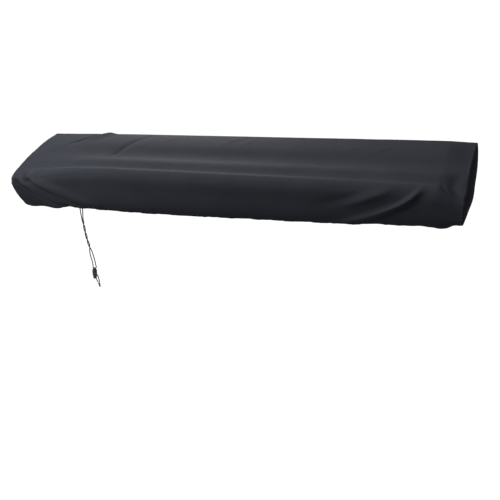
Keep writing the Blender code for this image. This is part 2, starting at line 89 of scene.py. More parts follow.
class Wire:
    """A value that runs through a material's nodes, with maths written as Python operators."""

    def __init__(self, graph: Graph, socket: NodeSocket) -> None:
        """Wrap an output socket of the graph."""
        self.graph = graph
        self.socket = socket

    def __add__(self, other: Wire | float) -> Wire:
        """Add a value."""
        return self.graph.maths("ADD", self, other)

    def __mul__(self, other: Wire | float) -> Wire:
        """Multiply by a value."""
        return self.graph.maths("MULTIPLY", self, other)

    def __sub__(self, other: Wire | float) -> Wire:
        """Take a value away."""
        return self.graph.maths("SUBTRACT", self, other)

    def __rsub__(self, other: float) -> Wire:
        """Take this value away from a number."""
        return self.graph.maths("SUBTRACT", other, self)

    __radd__ = __add__
    __rmul__ = __mul__

    def sine(self) -> Wire:
        """Return the sine."""
        return self.graph.maths("SINE", self)

    def size(self) -> Wire:
        """Return the value without its sign."""
        return self.graph.maths("ABSOLUTE", self)

    def within(self, low: float, high: float) -> Wire:
        """Return 0 below low, 1 above high and a smooth ramp between."""
        return self.graph.node(
            "ShaderNodeMapRange",
            {"interpolation_type": "SMOOTHSTEP"},
            {"Value": self, "From Min": low, "From Max": high},
        )


class Graph:
    """The node tree of one new material, with its Principled shader."""

    def __init__(self, name: str) -> None:
        """Start a material of this name."""
        self.material = bpy.data.materials.new(name)
        self.material.use_nodes = True
        self.tree = self.material.node_tree
        self.shader = self.tree.nodes["Principled BSDF"]

    def node(
        self,
        kind: str,
        settings: dict[str, Any] | None = None,
        inputs: dict[str | int, Any] | None = None,
        output: str | int = 0,
    ) -> Wire:
        """Add one node.

        Args:
            kind: The node's type name.
            settings: Its properties, set before its sockets.
            inputs: The values or wires of its sockets, by name or number.
            output: The socket to return.

        Returns:
            The chosen output.
        """
        made = self.tree.nodes.new(kind)
        for key, value in (settings or {}).items():
            setattr(made, key, value)
        for key, value in (inputs or {}).items():
            self.feed(made.inputs[key], value)
        return Wire(self, made.outputs[output])

    def feed(self, socket: NodeSocket, value: Any) -> None:
        """Set a socket to a number or colour, or link a wire to it."""
        if isinstance(value, Wire):
            self.tree.links.new(value.socket, socket)
        else:
            socket.default_value = value

    def maths(self, operation: str, *values: Wire | float) -> Wire:
        """Add a Math node for one operation."""
        return self.node("ShaderNodeMath", {"operation": operation}, dict(enumerate(values)))

    def mix(self, share: Wire, low: Sequence[float], high: Sequence[float]) -> Wire:
        """Return a colour between low and high by a share from 0 to 1."""
        colours = {0: share, 6: (*low, 1.0), 7: (*high, 1.0)}
        return self.node("ShaderNodeMix", {"data_type": "RGBA"}, colours, 2)

    def grain(self, at: Wire, scale: float, detail: float = 2.0, rough: float = 0.5) -> Wire:
        """Return cloudy noise from 0 to 1 at places of the given scale."""
        wanted = {"Vector": at, "Scale": scale, "Detail": detail, "Roughness": rough}
        return self.node("ShaderNodeTexNoise", {}, wanted)

    def bump(self, height: Wire, strength: float, distance: float, normal: Wire | None = None) -> Wire:
        """Return a normal bent by a height, over another normal if one is given."""
        inputs: dict[str | int, Any] = {"Height": height, "Strength": strength, "Distance": distance}
        if normal is not None:
            inputs["Normal"] = normal
        return self.node("ShaderNodeBump", {}, inputs)

    def flat_place(self) -> tuple[Wire, Wire, Wire]:
        """Return the place on the piece's own flat pattern, as a vector and as its two parts."""
        place = self.node("ShaderNodeUVMap", {"uv_map": PATTERN})
        along = self.node("ShaderNodeSeparateXYZ", {}, {0: place}, "X")
        down = Wire(self, along.socket.node.outputs["Y"])
        return place, along, down

    def object_place(self) -> Wire:
        """Return the place in the piece's own space, which is the frame's."""
        return self.node("ShaderNodeTexCoord", {}, {}, "Object")

    def finish(self, **sockets: Any) -> Material:
        """Set the shader's sockets, named with _ for each space, and return the material."""
        for name, value in sockets.items():
            self.feed(self.shader.inputs[name.replace("_", " ")], value)
        return self.material


# ---- Finishes ----


@dataclass(frozen=True)
class ClothFinish:
    """Matt charcoal polyester: a tight plain weave, faintly uneven in tone and softly crumpled."""

    name: str = "charcoal_cloth"
    deep: tuple[float, float, float] = (0.0123, 0.0130, 0.0160)
    pale: tuple[float, float, float] = (0.0171, 0.0181, 0.0223)
    thread: float = 0.0009
    slub: tuple[float, float, float] = (14.0, 420.0, 1.0)
    roughness: float = 0.80
    glance: tuple[float, float, float] = (0.70, 0.80, 1.0)

    def build(self) -> Material:
        """Return the material."""
        graph = Graph(self.name)
        place, along, down = graph.flat_place()
        turns = 2 * pi / self.thread
        weave = (along * turns).sine() * (down * turns).sine()
        drawn = graph.node("ShaderNodeMapping", {}, {"Vector": place, "Scale": self.slub})
        slub = graph.grain(drawn, 1.0, 2.0)
        cloud = graph.grain(graph.object_place(), 9.0, 3.0)
        shade = weave * 0.10 + cloud * 0.75 + slub * 0.30 - 0.05
        crumple = graph.grain(graph.object_place(), 46.0, 3.0, 0.45)
        soft = graph.bump(crumple, 0.35, 0.0011)
        fine = graph.bump(weave * 0.6 + slub * 0.8, 0.30, 0.00016, soft)
        return graph.finish(
            Base_Color=graph.mix(shade.within(0.0, 1.0), self.deep, self.pale),
            Roughness=cloud * 0.10 + slub * 0.05 + (self.roughness - 0.07),
            Specular_IOR_Level=0.03,
            Specular_Tint=(*self.glance, 1.0),
            Normal=fine,
        )


@dataclass(frozen=True)
class CordFinish:
    """Braided black cord: two sets of crossing strands, with painted shade darkening the gaps between them.
    """

    name: str = "black_cord"
    # gap is painted shade for the hollows between the strands; yarn is the strands' own black
    gap: tuple[float, float, float] = (0.004, 0.004, 0.005)
    yarn: tuple[float, float, float] = (0.020, 0.020, 0.022)
    strands: int = 8
    pitch: float = 0.0042

    def build(self) -> Material:
        """Return the material."""
        graph = Graph(self.name)
        place, around, along = graph.flat_place()
        lead = along * (2 * pi / self.pitch)
        turn = around * (pi * self.strands)
        braid = (turn + lead).sine() * (turn - lead).sine()
        fuzz = graph.grain(place, 900.0, 2.0)
        lift = braid.size().within(0.0, 0.55)
        return graph.finish(
            # base colour falls from yarn to gap away from the strands' crowns: painted shade in the hollows
            Base_Color=graph.mix(lift * 0.8 + fuzz * 0.2, self.gap, self.yarn),
            Roughness=fuzz * 0.2 + 0.62,
            Sheen_Weight=0.12,
            Normal=graph.bump(lift + fuzz * 0.3, 0.5, 0.00018),
        )


@dataclass(frozen=True)
class PlasticFinish:
    """Moulded black plastic with a fine spark-eroded grain, rubbed a little smoother where it is handled."""

    name: str = "black_plastic"
    colour: tuple[float, float, float] = (0.0095, 0.0095, 0.0105)
    rubbed: tuple[float, float, float] = (0.0170, 0.0170, 0.0185)

    def build(self) -> Material:
        """Return the material."""
        graph = Graph(self.name)
        place = graph.object_place()
        wear = graph.grain(place, 160.0, 3.0)
        pits = graph.grain(place, 2600.0, 2.0)
        return graph.finish(
            Base_Color=graph.mix(wear.within(0.45, 0.75), self.colour, self.rubbed),
            Roughness=0.52 - wear * 0.18 + pits * 0.06,
            Normal=graph.bump(pits, 0.25, 0.00008),
        )


@dataclass(frozen=True)
class ThreadFinish:
    """Black sewing thread with a slight twist and lustre."""

    name: str = "sewing_thread"
    dark: tuple[float, float, float] = (0.008, 0.008, 0.009)
    light: tuple[float, float, float] = (0.026, 0.026, 0.030)

    def build(self) -> Material:
        """Return the material."""
        graph = Graph(self.name)
        ply = graph.grain(graph.object_place(), 2400.0, 1.0)
        return graph.finish(
            Base_Color=graph.mix(ply.within(0.3, 0.7), self.dark, self.light),
            Roughness=ply * 0.15 + 0.42,
            Normal=graph.bump(ply, 0.4, 0.0001),
        )


@dataclass(frozen=True)
class FloorFinish:
    """Plain studio floor that glows, so that it looks white in any light."""

    name: str = "pale_floor"
    colour: tuple[float, float, float] = (0.04, 0.04, 0.04)
    glow: float = 0.985

    def build(self) -> Material:
        """Return the material."""
        graph = Graph(self.name)
        mottle = graph.grain(graph.object_place(), 0.6, 2.0)
        return graph.finish(
            Base_Color=(*self.colour, 1.0),
            Roughness=mottle * 0.05 + 0.78,
            Specular_IOR_Level=0.0,
            Emission_Color=(1.0, 1.0, 1.0, 1.0),
            Emission_Strength=self.glow,
        )


# ---- Curves and grids ----


def hermite(places: Array, values: Array, tangents: Array, at: Array) -> Array:
    """Read the cubic curve through (places, values) that has the given tangents there."""
    at = np.clip(np.asarray(at, float), places[0], places[-1])
    k = np.clip(np.searchsorted(places, at, side="right") - 1, 0, len(places) - 2)
    gap = places[k + 1] - places[k]
    t = (at - places[k]) / gap
    return (
        values[k] * (1 + 2 * t) * (1 - t) ** 2
        + tangents[k] * gap * t * (1 - t) ** 2
        + values[k + 1] * t * t * (3 - 2 * t)
        + tangents[k + 1] * gap * t * t * (t - 1)
    )


def level_curve(places: Array, values: Array, at: Array) -> Array:
    """Read a smooth curve that stays between neighbouring values, so level stretches stay level."""
    steps = np.diff(places)
    slopes = np.diff(values) / steps
    tangents = np.zeros(len(places))
    tangents[0], tangents[-1] = slopes[0], slopes[-1]
    for i in range(1, len(places) - 1):
        if slopes[i - 1] * slopes[i] > 0:
            before, after = 2 * steps[i] + steps[i - 1], steps[i] + 2 * steps[i - 1]
            tangents[i] = (before + after) / (before / slopes[i - 1] + after / slopes[i])
    return hermite(places, values, tangents, at)


def rounded_curve(places: Array, values: Array, at: Array) -> Array:
    """Read a rounded curve through (places, values), for outlines that turn corners."""
    gaps = np.diff(places)
    slopes = np.diff(values) / gaps
    tangents = np.empty(len(places))
    tangents[0], tangents[-1] = slopes[0], slopes[-1]
    tangents[1:-1] = (slopes[:-1] * gaps[1:] + slopes[1:] * gaps[:-1]) / (gaps[1:] + gaps[:-1])
    return hermite(places, values, tangents, at)


def column(rows: Sequence[NamedTuple], name: str) -> Array:
    """Return one named column of a table."""
    return np.array([getattr(row, name) for row in rows], float)


def ruled(stops: Sequence[Ruling]) -> Array:
    """Return places from the first stop to the last, at each stop's own spacing."""
    places: list[float] = []
    for this, after in zip(stops[:-1], stops[1:]):
        count = max(1, round((after.at - this.at) / this.step))
        places += list(np.linspace(this.at, after.at, count, endpoint=False))
    return np.array(places + [stops[-1].at])


def unit(vectors: Array) -> Array:
    """Return vectors of length one."""
    return vectors / np.maximum(np.linalg.norm(vectors, axis=-1, keepdims=True), 1e-12)


def grid_normals(points: Array) -> Array:
    """Return the unit normals of a grid of points, along its second index crossed with its first."""
    first, second = np.gradient(points, axis=0), np.gradient(points, axis=1)
    return unit(np.cross(second, first))


def runs_along(path: Array) -> Array:
    """Return how far along a path each of its points lies."""
    return np.concatenate([[0.0], np.cumsum(np.linalg.norm(np.diff(path, axis=0), axis=1))])


def read_path(at: Array, runs: Array, values: Array) -> Array:
    """Read points or vectors at places along a path."""
    return np.stack([np.interp(at, runs, values[:, axis]) for axis in range(3)], 1)


def by_rows(*grids: Array) -> list[Array]:
    """Return grids with their first two indices exchanged."""
    return [grid.transpose(1, 0, 2) for grid in grids]


def near_edge(points: Array, normals: Array, back: float) -> tuple[Array, Array]:
    """Return the points and normals of the line at a distance back from a grid's last row."""
    steps = np.linalg.norm(np.diff(points, axis=0), axis=2)[::-1]
    reach = np.concatenate([np.zeros((1, points.shape[1])), np.cumsum(steps, axis=0)])
    read = [read_path(np.array([back]), reach[:, k], grid[::-1, k]) for grid in (points, normals)
            for k in range(points.shape[1])]
    both = np.array(read).reshape(2, points.shape[1], 3)
    return both[0], both[1]


class Ruling(NamedTuple):
    """A stop on a ruler: where it is, and the spacing of the places up to the next stop."""

    at: float
    step: float


class Turn(NamedTuple):
    """A step of a turned edge: how far back from the edge, and how deep under the outer face."""

    back: float
    depth: float


HEM_TURN = [
    Turn(-0.0006, 0.0002), Turn(-0.0013, 0.0010), Turn(-0.0013, 0.0022), Turn(-0.0004, 0.0034),
    Turn(0.0016, 0.0044), Turn(0.0045, 0.0049), Turn(0.0080, 0.0046), Turn(0.0112, 0.0034),
    Turn(0.0136, 0.0021), Turn(0.0160, 0.0017), Turn(0.0200, 0.0016),
]
SEAM_TURN = [Turn(-0.0003, 0.0006), Turn(0.0001, 0.0014), Turn(0.0008, 0.0024), Turn(0.0018, 0.0034)]


def turned_edge(
    points: Array, normals: Array, pattern: Array, turns: Sequence[Turn]
) -> tuple[Array, Array]:
    """Return the further rows of a sheet whose last row is turned under.

    Args:
        points: The sheet's points, [row, place, xyz], with the edge to turn in the last row.
        normals: Its outward normals.
        pattern: Its places on the flat pattern, [row, place, 2].
        turns: The steps of the turned edge.

    Returns:
        The new rows' points and their places on the flat pattern.
    """
    outward, step = unit(points[-1] - points[-3]), unit(pattern[-1] - pattern[-2])
    rows, flat = [], []
    run, before = 0.0, Turn(0.0, 0.0)
    for turn in turns:
        run += float(np.hypot(turn.back - before.back, turn.depth - before.depth))
        before = turn
        line, lean = near_edge(points, normals, turn.back)
        rows.append(line - lean * turn.depth - outward * min(turn.back, 0.0))
        flat.append(pattern[-1] + step * run)
    return np.array(rows), np.array(flat)


def mesh_from(work: bmesh.types.BMesh, name: str) -> Mesh:
    """Return the finished work as a new smooth mesh, and free it."""
    mesh = bpy.data.meshes.new(name)
    work.to_mesh(mesh)
    work.free()
    mesh.shade_smooth()
    return mesh


def sheet_object(name: str, points: Array, pattern: Array, outward: Vector) -> Object:
    """Make a sheet from a grid of points.

    Args:
        name: The piece's name.
        points: The grid, [column, row, xyz].
        pattern: The same grid's places on the flat pattern, in metres.
        outward: Roughly the way that the middle of its outer face looks.

    Returns:
        The linked object.
    """
    wide, high = points.shape[0] - 1, points.shape[1] - 1
    work = bmesh.new()
    bmesh.ops.create_grid(work, x_segments=wide, y_segments=high, size=0.5)
    places = np.array([v.co[:2] for v in work.verts])
    cells = np.rint((places + 0.5) * (wide, high)).astype(int)
    for vert, (i, j) in zip(work.verts, cells):
        vert.co = points[i, j]
    work.normal_update()
    centre = Vector(points[wide // 2, high // 2])
    middle = min(work.faces, key=lambda face: (face.calc_center_median() - centre).length)
    if middle.normal.dot(outward) < 0:
        bmesh.ops.reverse_faces(work, faces=work.faces)
    mesh = mesh_from(work, name)
    corners = np.empty(len(mesh.loops), np.int32)
    mesh.loops.foreach_get("vertex_index", corners)
    layer = mesh.uv_layers.new(name=PATTERN)
    flat = pattern[cells[:, 0], cells[:, 1]]
    layer.data.foreach_set("uv", flat[corners].astype(np.float32).ravel())
    return link(name, mesh)


def link(name: str, mesh: Mesh) -> Object:
    """Return a linked object that carries the mesh."""
    made = bpy.data.objects.new(name, mesh)
    bpy.context.scene.collection.objects.link(made)
    return made


def joined(name: str, parts: Sequence[Mesh]) -> Mesh:
    """Return one smooth mesh made of several, which are removed."""
    work = bmesh.new()
    for part in parts:
        work.from_mesh(part)
        bpy.data.meshes.remove(part)
    return mesh_from(work, name)


def thicken(piece: Object, thickness: float) -> None:
    """Give a sheet its thickness, inwards from its outer face."""
    solid = piece.modifiers.new("cloth", "SOLIDIFY")
    solid.thickness = thickness
    solid.offset = -1.0
    solid.use_rim = True


def dress(piece: Object, look: Material, slot: str, *replaced: str) -> Object:
    """Give a piece its material and body, and say which CAD nodes it stands for."""
    piece.data.materials.clear()
    piece.data.materials.append(look)
    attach(piece, BODY)
    if replaced:
        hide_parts(*replaced)
    stands_for = ", ".join(replaced) or "itself"
    LOG.info("%s: %d faces, stands for %s", piece.name, len(piece.data.polygons), stands_for)
    return piece


# ---- The shape of the cloth ----


class Girth(NamedTuple):
    """A line along the cover, where the cloth is held up from below and at its two ends."""

    line: str
    held_y: float
    held_z: float
    left_y: float
    left_z: float
    right_y: float
    right_z: float
    left_tuck: float
    right_tuck: float


class Station(NamedTuple):
    """A place along the cover: how far the cloth has slumped, and its front hem's rise and inset."""

    x: float
    slump: float
    rise: float
    inset: float


class Fold(NamedTuple):
    """A ridge or trough through three places, with its height or depth and its half width each side."""

    x0: float
    down0: float
    x1: float
    down1: float
    x2: float
    down2: float
    width: float
    rise: float


class Gather(NamedTuple):
    """A place where the hem is lifted or let down by its drawcord."""

    x: float
    length: float
    lift: float


GIRTH = [
    Girth("back hem", 0.091, -0.168, 0.088, -0.170, 0.086, -0.162, 0.018, 0.020),
    Girth("back roll", 0.107, -0.165, 0.102, -0.167, 0.102, -0.158, 0.010, 0.014),
    Girth("back turn", 0.118, -0.149, 0.112, -0.151, 0.113, -0.144, 0.003, 0.009),
    Girth("back wall", 0.123, -0.085, 0.119, -0.085, 0.123, -0.085, -0.002, 0.000),
    Girth("back shoulder", 0.1215, -0.006, 0.118, -0.007, 0.119, -0.008, 0.002, -0.003),
    Girth("back edge", 0.1165, 0.0046, 0.114, 0.0026, 0.114, 0.0020, 0.003, -0.003),
    Girth("panel back", 0.103, 0.0066, 0.100, 0.0012, 0.100, -0.0014, 0.002, -0.002),
    Girth("panel front", 0.031, -0.0022, 0.032, -0.0088, 0.032, -0.0185, 0.003, 0.000),
    Girth("step foot", -0.008, -0.0204, -0.010, -0.0200, -0.010, -0.0318, 0.003, 0.001),
    Girth("key back", -0.020, -0.0226, -0.022, -0.0234, -0.022, -0.0360, 0.002, 0.001),
    Girth("key front", -0.057, -0.0224, -0.060, -0.0378, -0.060, -0.0490, -0.001, 0.000),
    Girth("dip", -0.089, -0.0345, -0.090, -0.0500, -0.090, -0.0600, -0.002, 0.000),
    Girth("ridge", -0.112, -0.0314, -0.114, -0.0608, -0.112, -0.0658, -0.003, 0.000),
    Girth("front shoulder", -0.1192, -0.0362, -0.1265, -0.0688, -0.1218, -0.0718, -0.003, -0.001),
    Girth("front brow", -0.1262, -0.0475, -0.1312, -0.0790, -0.1256, -0.0800, -0.003, -0.001),
    Girth("front wall", -0.1300, -0.087, -0.1326, -0.0950, -0.1276, -0.0960, -0.004, -0.001),
    Girth("front turn", -0.121, -0.150, -0.1105, -0.1550, -0.118, -0.1228, -0.002, 0.000),
    Girth("front roll", -0.109, -0.166, -0.0990, -0.1748, -0.106, -0.1312, 0.002, 0.002),
    Girth("front hem", -0.093, -0.170, -0.0842, -0.1780, -0.090, -0.1348, 0.011, 0.007),
]

STATIONS = [
    Station(-0.680, 1.00, 0.000, 0.000),
    Station(-0.640, 0.93, 0.000, 0.000),
    Station(-0.580, 0.68, 0.000, 0.000),
    Station(-0.520, 0.42, 0.000, 0.000),
    Station(-0.400, 0.10, 0.000, 0.000),
    Station(-0.300, 0.00, -0.0008, 0.000),
    Station(0.140, 0.00, 0.008, 0.003),
    Station(0.330, 0.00, 0.013, 0.004),
    Station(0.540, 0.04, 0.020, 0.007),
    Station(0.615, 0.20, 0.013, 0.004),
    Station(0.642, 0.50, 0.006, 0.002),
    Station(0.661, 0.77, 0.002, 0.001),
    Station(0.680, 1.00, 0.000, 0.000),
]

MAIN_FOLDS = [
    # left front corner: two troughs from the corner to the hem, with ridges above and between them
    Fold(-0.622, 0.246, -0.550, 0.317, -0.402, 0.376, 0.0100, -0.0112),
    Fold(-0.600, 0.246, -0.524, 0.301, -0.372, 0.360, 0.0150, 0.0122),
    Fold(-0.640, 0.258, -0.598, 0.310, -0.508, 0.362, 0.0095, 0.0062),
    Fold(-0.662, 0.252, -0.628, 0.314, -0.528, 0.376, 0.0095, -0.0095),
    # back left: wrinkles that run from the back edge forward and to the left
    Fold(-0.556, 0.090, -0.508, 0.042, -0.472, 0.000, 0.0110, -0.0045),
    Fold(-0.508, 0.054, -0.470, 0.020, -0.440, -0.014, 0.0150, 0.0062),
    Fold(-0.462, 0.070, -0.440, 0.040, -0.418, 0.010, 0.0090, -0.0018),
    Fold(-0.362, 0.138, -0.316, 0.082, -0.262, 0.024, 0.0110, -0.0024),
    # right front: a taut ridge that runs down to the left, a trough under it, then softer ones
    Fold(0.584, 0.250, 0.512, 0.310, 0.366, 0.371, 0.0088, 0.0086),
    Fold(0.604, 0.260, 0.546, 0.308, 0.460, 0.356, 0.0080, -0.0010),
    Fold(0.516, 0.254, 0.462, 0.280, 0.396, 0.307, 0.0140, 0.0046),
    Fold(0.442, 0.268, 0.390, 0.290, 0.328, 0.310, 0.0130, -0.0016),
    # right end: the soft hollow past the length that is held up
    Fold(0.662, 0.150, 0.651, 0.198, 0.668, 0.234, 0.0120, -0.0030),
]

CREASES = [
    # left front corner: the sharp bottoms of the two troughs and the crests beside them
    Fold(-0.634, 0.234, -0.553, 0.316, -0.416, 0.374, 0.0052, -0.0058),
    Fold(-0.604, 0.246, -0.532, 0.306, -0.396, 0.366, 0.0072, 0.0044),
    Fold(-0.656, 0.256, -0.628, 0.318, -0.530, 0.376, 0.0050, -0.0044),
    Fold(-0.640, 0.262, -0.602, 0.312, -0.520, 0.360, 0.0056, 0.0026),
    Fold(-0.668, 0.262, -0.650, 0.310, -0.618, 0.352, 0.0050, -0.0012),
    # back left: two wrinkles with crisp bottoms, their upper lips, and faint ones beside them
    Fold(-0.560, 0.084, -0.524, 0.050, -0.484, -0.002, 0.0036, -0.0027),
    Fold(-0.548, 0.090, -0.508, 0.052, -0.474, 0.012, 0.0050, 0.0012),
    Fold(-0.362, 0.139, -0.332, 0.090, -0.276, 0.026, 0.0052, -0.0018),
    Fold(-0.348, 0.142, -0.314, 0.094, -0.262, 0.030, 0.0070, 0.0009),
    Fold(-0.300, 0.110, -0.262, 0.078, -0.230, 0.046, 0.0060, 0.0008),
    # along the back edge: short slack wrinkles towards the front left
    Fold(-0.222, 0.078, -0.196, 0.048, -0.168, 0.020, 0.0050, 0.0017),
    Fold(-0.120, 0.076, -0.092, 0.060, -0.060, 0.046, 0.0050, 0.0007),
    Fold(-0.014, 0.078, 0.016, 0.050, 0.044, 0.022, 0.0055, 0.0018),
    Fold(0.048, 0.082, 0.068, 0.056, 0.086, 0.020, 0.0045, 0.0017),
    Fold(0.352, 0.090, 0.386, 0.074, 0.424, 0.062, 0.0050, 0.0009),
    Fold(0.436, 0.092, 0.458, 0.076, 0.484, 0.058, 0.0045, 0.0009),
    # right front: the crest of the taut ridge, the crease under its upper end, and the broad soft ones
    Fold(0.578, 0.252, 0.516, 0.306, 0.396, 0.359, 0.0042, 0.0032),
    Fold(0.592, 0.256, 0.554, 0.289, 0.508, 0.319, 0.0042, -0.0022),
    Fold(0.514, 0.254, 0.462, 0.280, 0.400, 0.305, 0.0070, 0.0012),
    Fold(0.438, 0.266, 0.388, 0.288, 0.334, 0.306, 0.0070, -0.0006),
    # right end: the curved lower edge of the hollow
    Fold(0.628, 0.196, 0.636, 0.230, 0.664, 0.240, 0.0048, -0.0016),
]

GATHERS = [
    Gather(-0.658, 0.020, -0.0052),
    Gather(-0.564, 0.032, -0.0070),
    Gather(-0.488, 0.024, 0.0035),
    Gather(-0.405, 0.018, -0.0015),
    Gather(-0.060, 0.030, -0.0010),
    Gather(0.125, 0.010, 0.0020),
    Gather(0.425, 0.014, -0.0012),
    Gather(0.485, 0.030, 0.0028),
    Gather(0.585, 0.020, 0.0072),
    Gather(0.612, 0.014, 0.0036),
    Gather(0.660, 0.012, 0.0062),
]


@dataclass
class Drape:
    """The outer face of the body panel, as smooth functions of the place on its flat pattern."""

    half_length: float = 0.680
    back_level: float = 0.0235
    ripple_length: float = 0.087
    ripple: float = 0.0008
    lift_reach: float = 0.030
    seam_hold: float = 0.012
    fold_legs: int = 12
    slack: float = 0.0007
    pleat_reach: float = 0.030
    tuck_power: int = 24
    fold_end: float = 0.08
    pucker: float = 0.0002
    knots: Array = field(init=False)

    def __post_init__(self) -> None:
        """Work out how far each line lies along the cloth from the top back edge."""
        runs = np.hypot(np.diff(column(GIRTH, "held_y")), np.diff(column(GIRTH, "held_z")))
        along = np.concatenate([[0.0], np.cumsum(runs)])
        self.knots = along - along[[row.line for row in GIRTH].index("back edge")]

    def line(self, name: str) -> float:
        """Return the distance along the cloth to a named line."""
        return float(self.knots[[row.line for row in GIRTH].index(name)])

    def read(self, name: str, downs: Array) -> Array:
        """Read one column of the girth table along the cloth."""
        return rounded_curve(self.knots, column(GIRTH, name), downs)

    def stationed(self, name: str, xs: Array) -> Array:
        """Read one column of the stations along the cover, as a column vector."""
        return level_curve(column(STATIONS, "x"), column(STATIONS, name), xs)[:, None]

    def bare(self, xs: Array, downs: Array) -> Array:
        """Return the points of the unfolded cloth, [x, down, xyz]."""
        slump = self.stationed("slump", xs)
        at_left = (xs < 0)[:, None]
        end_y = np.where(at_left, self.read("left_y", downs), self.read("right_y", downs))
        end_z = np.where(at_left, self.read("left_z", downs), self.read("right_z", downs))
        held_y, held_z = self.read("held_y", downs), self.read("held_z", downs)
        ridge, front = self.line("front shoulder"), self.knots[-1]
        t = np.clip((downs - ridge) / (front - ridge), 0.0, 1.0)
        low = t * t * (3 - 2 * t)
        y = held_y + (end_y - held_y) * slump + self.stationed("inset", xs) * low
        z = held_z + (end_z - held_z) * slump + self.stationed("rise", xs) * low
        z = z + self.hem_lift(xs, downs) + self.back_level
        short = np.where(at_left, self.read("left_tuck", downs), self.read("right_tuck", downs))
        near_end = (abs(xs[:, None]) / self.half_length) ** self.tuck_power
        x = xs[:, None] - np.sign(xs)[:, None] * short * near_end
        return np.stack([x + 0 * y, y, z], -1)

    def hem_lift(self, xs: Array, downs: Array) -> Array:
        """Return the lift of the edge by the gathers and the ripple, which die out up the walls."""
        edge = self.ripple * np.sin(2 * pi * xs / self.ripple_length)
        for gather in GATHERS:
            edge = edge + gather.lift * np.exp(-(((xs - gather.x) / gather.length) ** 2))
        from_hem = np.minimum(self.knots[-1] - downs, downs - self.knots[0])
        return edge[:, None] * np.exp(-((np.maximum(from_hem, 0.0) / self.lift_reach) ** 2))

    def fold_height(self, fold: Fold, xs: Array, downs: Array) -> Array:
        """Return how far one fold raises or sinks the cloth along its outward normal."""
        t = np.linspace(0.0, 1.0, self.fold_legs + 1)
        mid_x = 2 * fold.x1 - (fold.x0 + fold.x2) / 2
        mid_down = 2 * fold.down1 - (fold.down0 + fold.down2) / 2
        path_x = (1 - t) ** 2 * fold.x0 + 2 * t * (1 - t) * mid_x + t * t * fold.x2
        path_down = (1 - t) ** 2 * fold.down0 + 2 * t * (1 - t) * mid_down + t * t * fold.down2
        nearest = np.full((len(xs), len(downs)), 1e9)
        along = np.zeros_like(nearest)
        for k in range(self.fold_legs):
            leg_x, leg_down = path_x[k + 1] - path_x[k], path_down[k + 1] - path_down[k]
            off_x, off_down = xs[:, None] - path_x[k], downs[None, :] - path_down[k]
            share = np.clip((off_x * leg_x + off_down * leg_down) / (leg_x**2 + leg_down**2), 0.0, 1.0)
            apart = np.hypot(off_x - share * leg_x, off_down - share * leg_down)
            near = apart < nearest
            nearest = np.where(near, apart, nearest)
            along = np.where(near, (k + share) / self.fold_legs, along)
        fade = np.sin(pi * (self.fold_end + (1 - 2 * self.fold_end) * along)) ** 0.8
        return fold.rise * fade * np.exp(-((nearest / fold.width) ** 2))

    def slack_height(self, xs: Array, downs: Array) -> Array:
        """Return the faint unevenness of cloth that lies slack, more of it towards the ends and the hem."""

        def wander(x: float, down: float) -> float:
            """Return broad noise with half as much finer noise on it."""
            broad = noise.noise((x * 11.0, down * 19.0, 3.1))
            return broad + 0.5 * noise.noise((x * 27.0, down * 41.0, 7.7))

        uneven = np.array([[wander(x, down) for down in downs] for x in xs])
        loose = 0.45 + 0.55 * (abs(xs)[:, None] / self.half_length) ** 2 + 0 * downs
        return self.slack * loose * uneven

    def pleat_height(self, xs: Array, downs: Array) -> Array:
        """Return the small uneven pleats that the drawcord makes in the hems."""
        rng = np.random.default_rng(11)
        height = np.zeros((len(xs), len(downs)))
        for hem, way in ((self.knots[-1], -1.0), (self.knots[0], 1.0)):
            x = -self.half_length + 0.012
            while x < self.half_length - 0.010:
                width, rise = rng.uniform(0.0034, 0.0062), rng.uniform(-0.0011, 0.0013)
                reach, lean = rng.uniform(0.5, 1.5) * self.pleat_reach, rng.uniform(-0.5, 0.5)
                up = np.maximum((downs - hem) * way, 0.0)
                off = (xs[:, None] - x - lean * up[None, :]) / width
                height += rise * np.exp(-(off**2)) * np.exp(-((up / reach) ** 2))[None, :]
                x += rng.uniform(0.007, 0.019)
        return height

    def pucker_height(self, xs: Array, downs: Array) -> Array:
        """Return the small puckers along the end seams."""
        from_seam = self.half_length - abs(xs)[:, None]
        wave = np.sin(2 * pi * downs / 0.023 + 1.7 * np.sin(2 * pi * downs / 0.117))
        return self.pucker * wave[None, :] * np.exp(-(((from_seam - 0.006) / 0.009) ** 2))

    def points(self, xs: Array, downs: Array) -> tuple[Array, Array]:
        """Return the outer face with its folds, and its outward normals."""
        bare = self.bare(xs, downs)
        lean = grid_normals(bare)
        fade = np.minimum(1.0, (self.half_length - abs(xs)) / self.seam_hold)[:, None]
        height = sum(self.fold_height(fold, xs, downs) for fold in MAIN_FOLDS + CREASES)
        height = (height + self.slack_height(xs, downs) + self.pleat_height(xs, downs)) * fade
        height = height + self.pucker_height(xs, downs)
        shaped = bare + lean * height[..., None]
        return shaped, grid_normals(shaped)


# ---- The cover's cloth ----


class End(Enum):
    """The two ends of the cover."""

    LEFT = -1
    RIGHT = 1


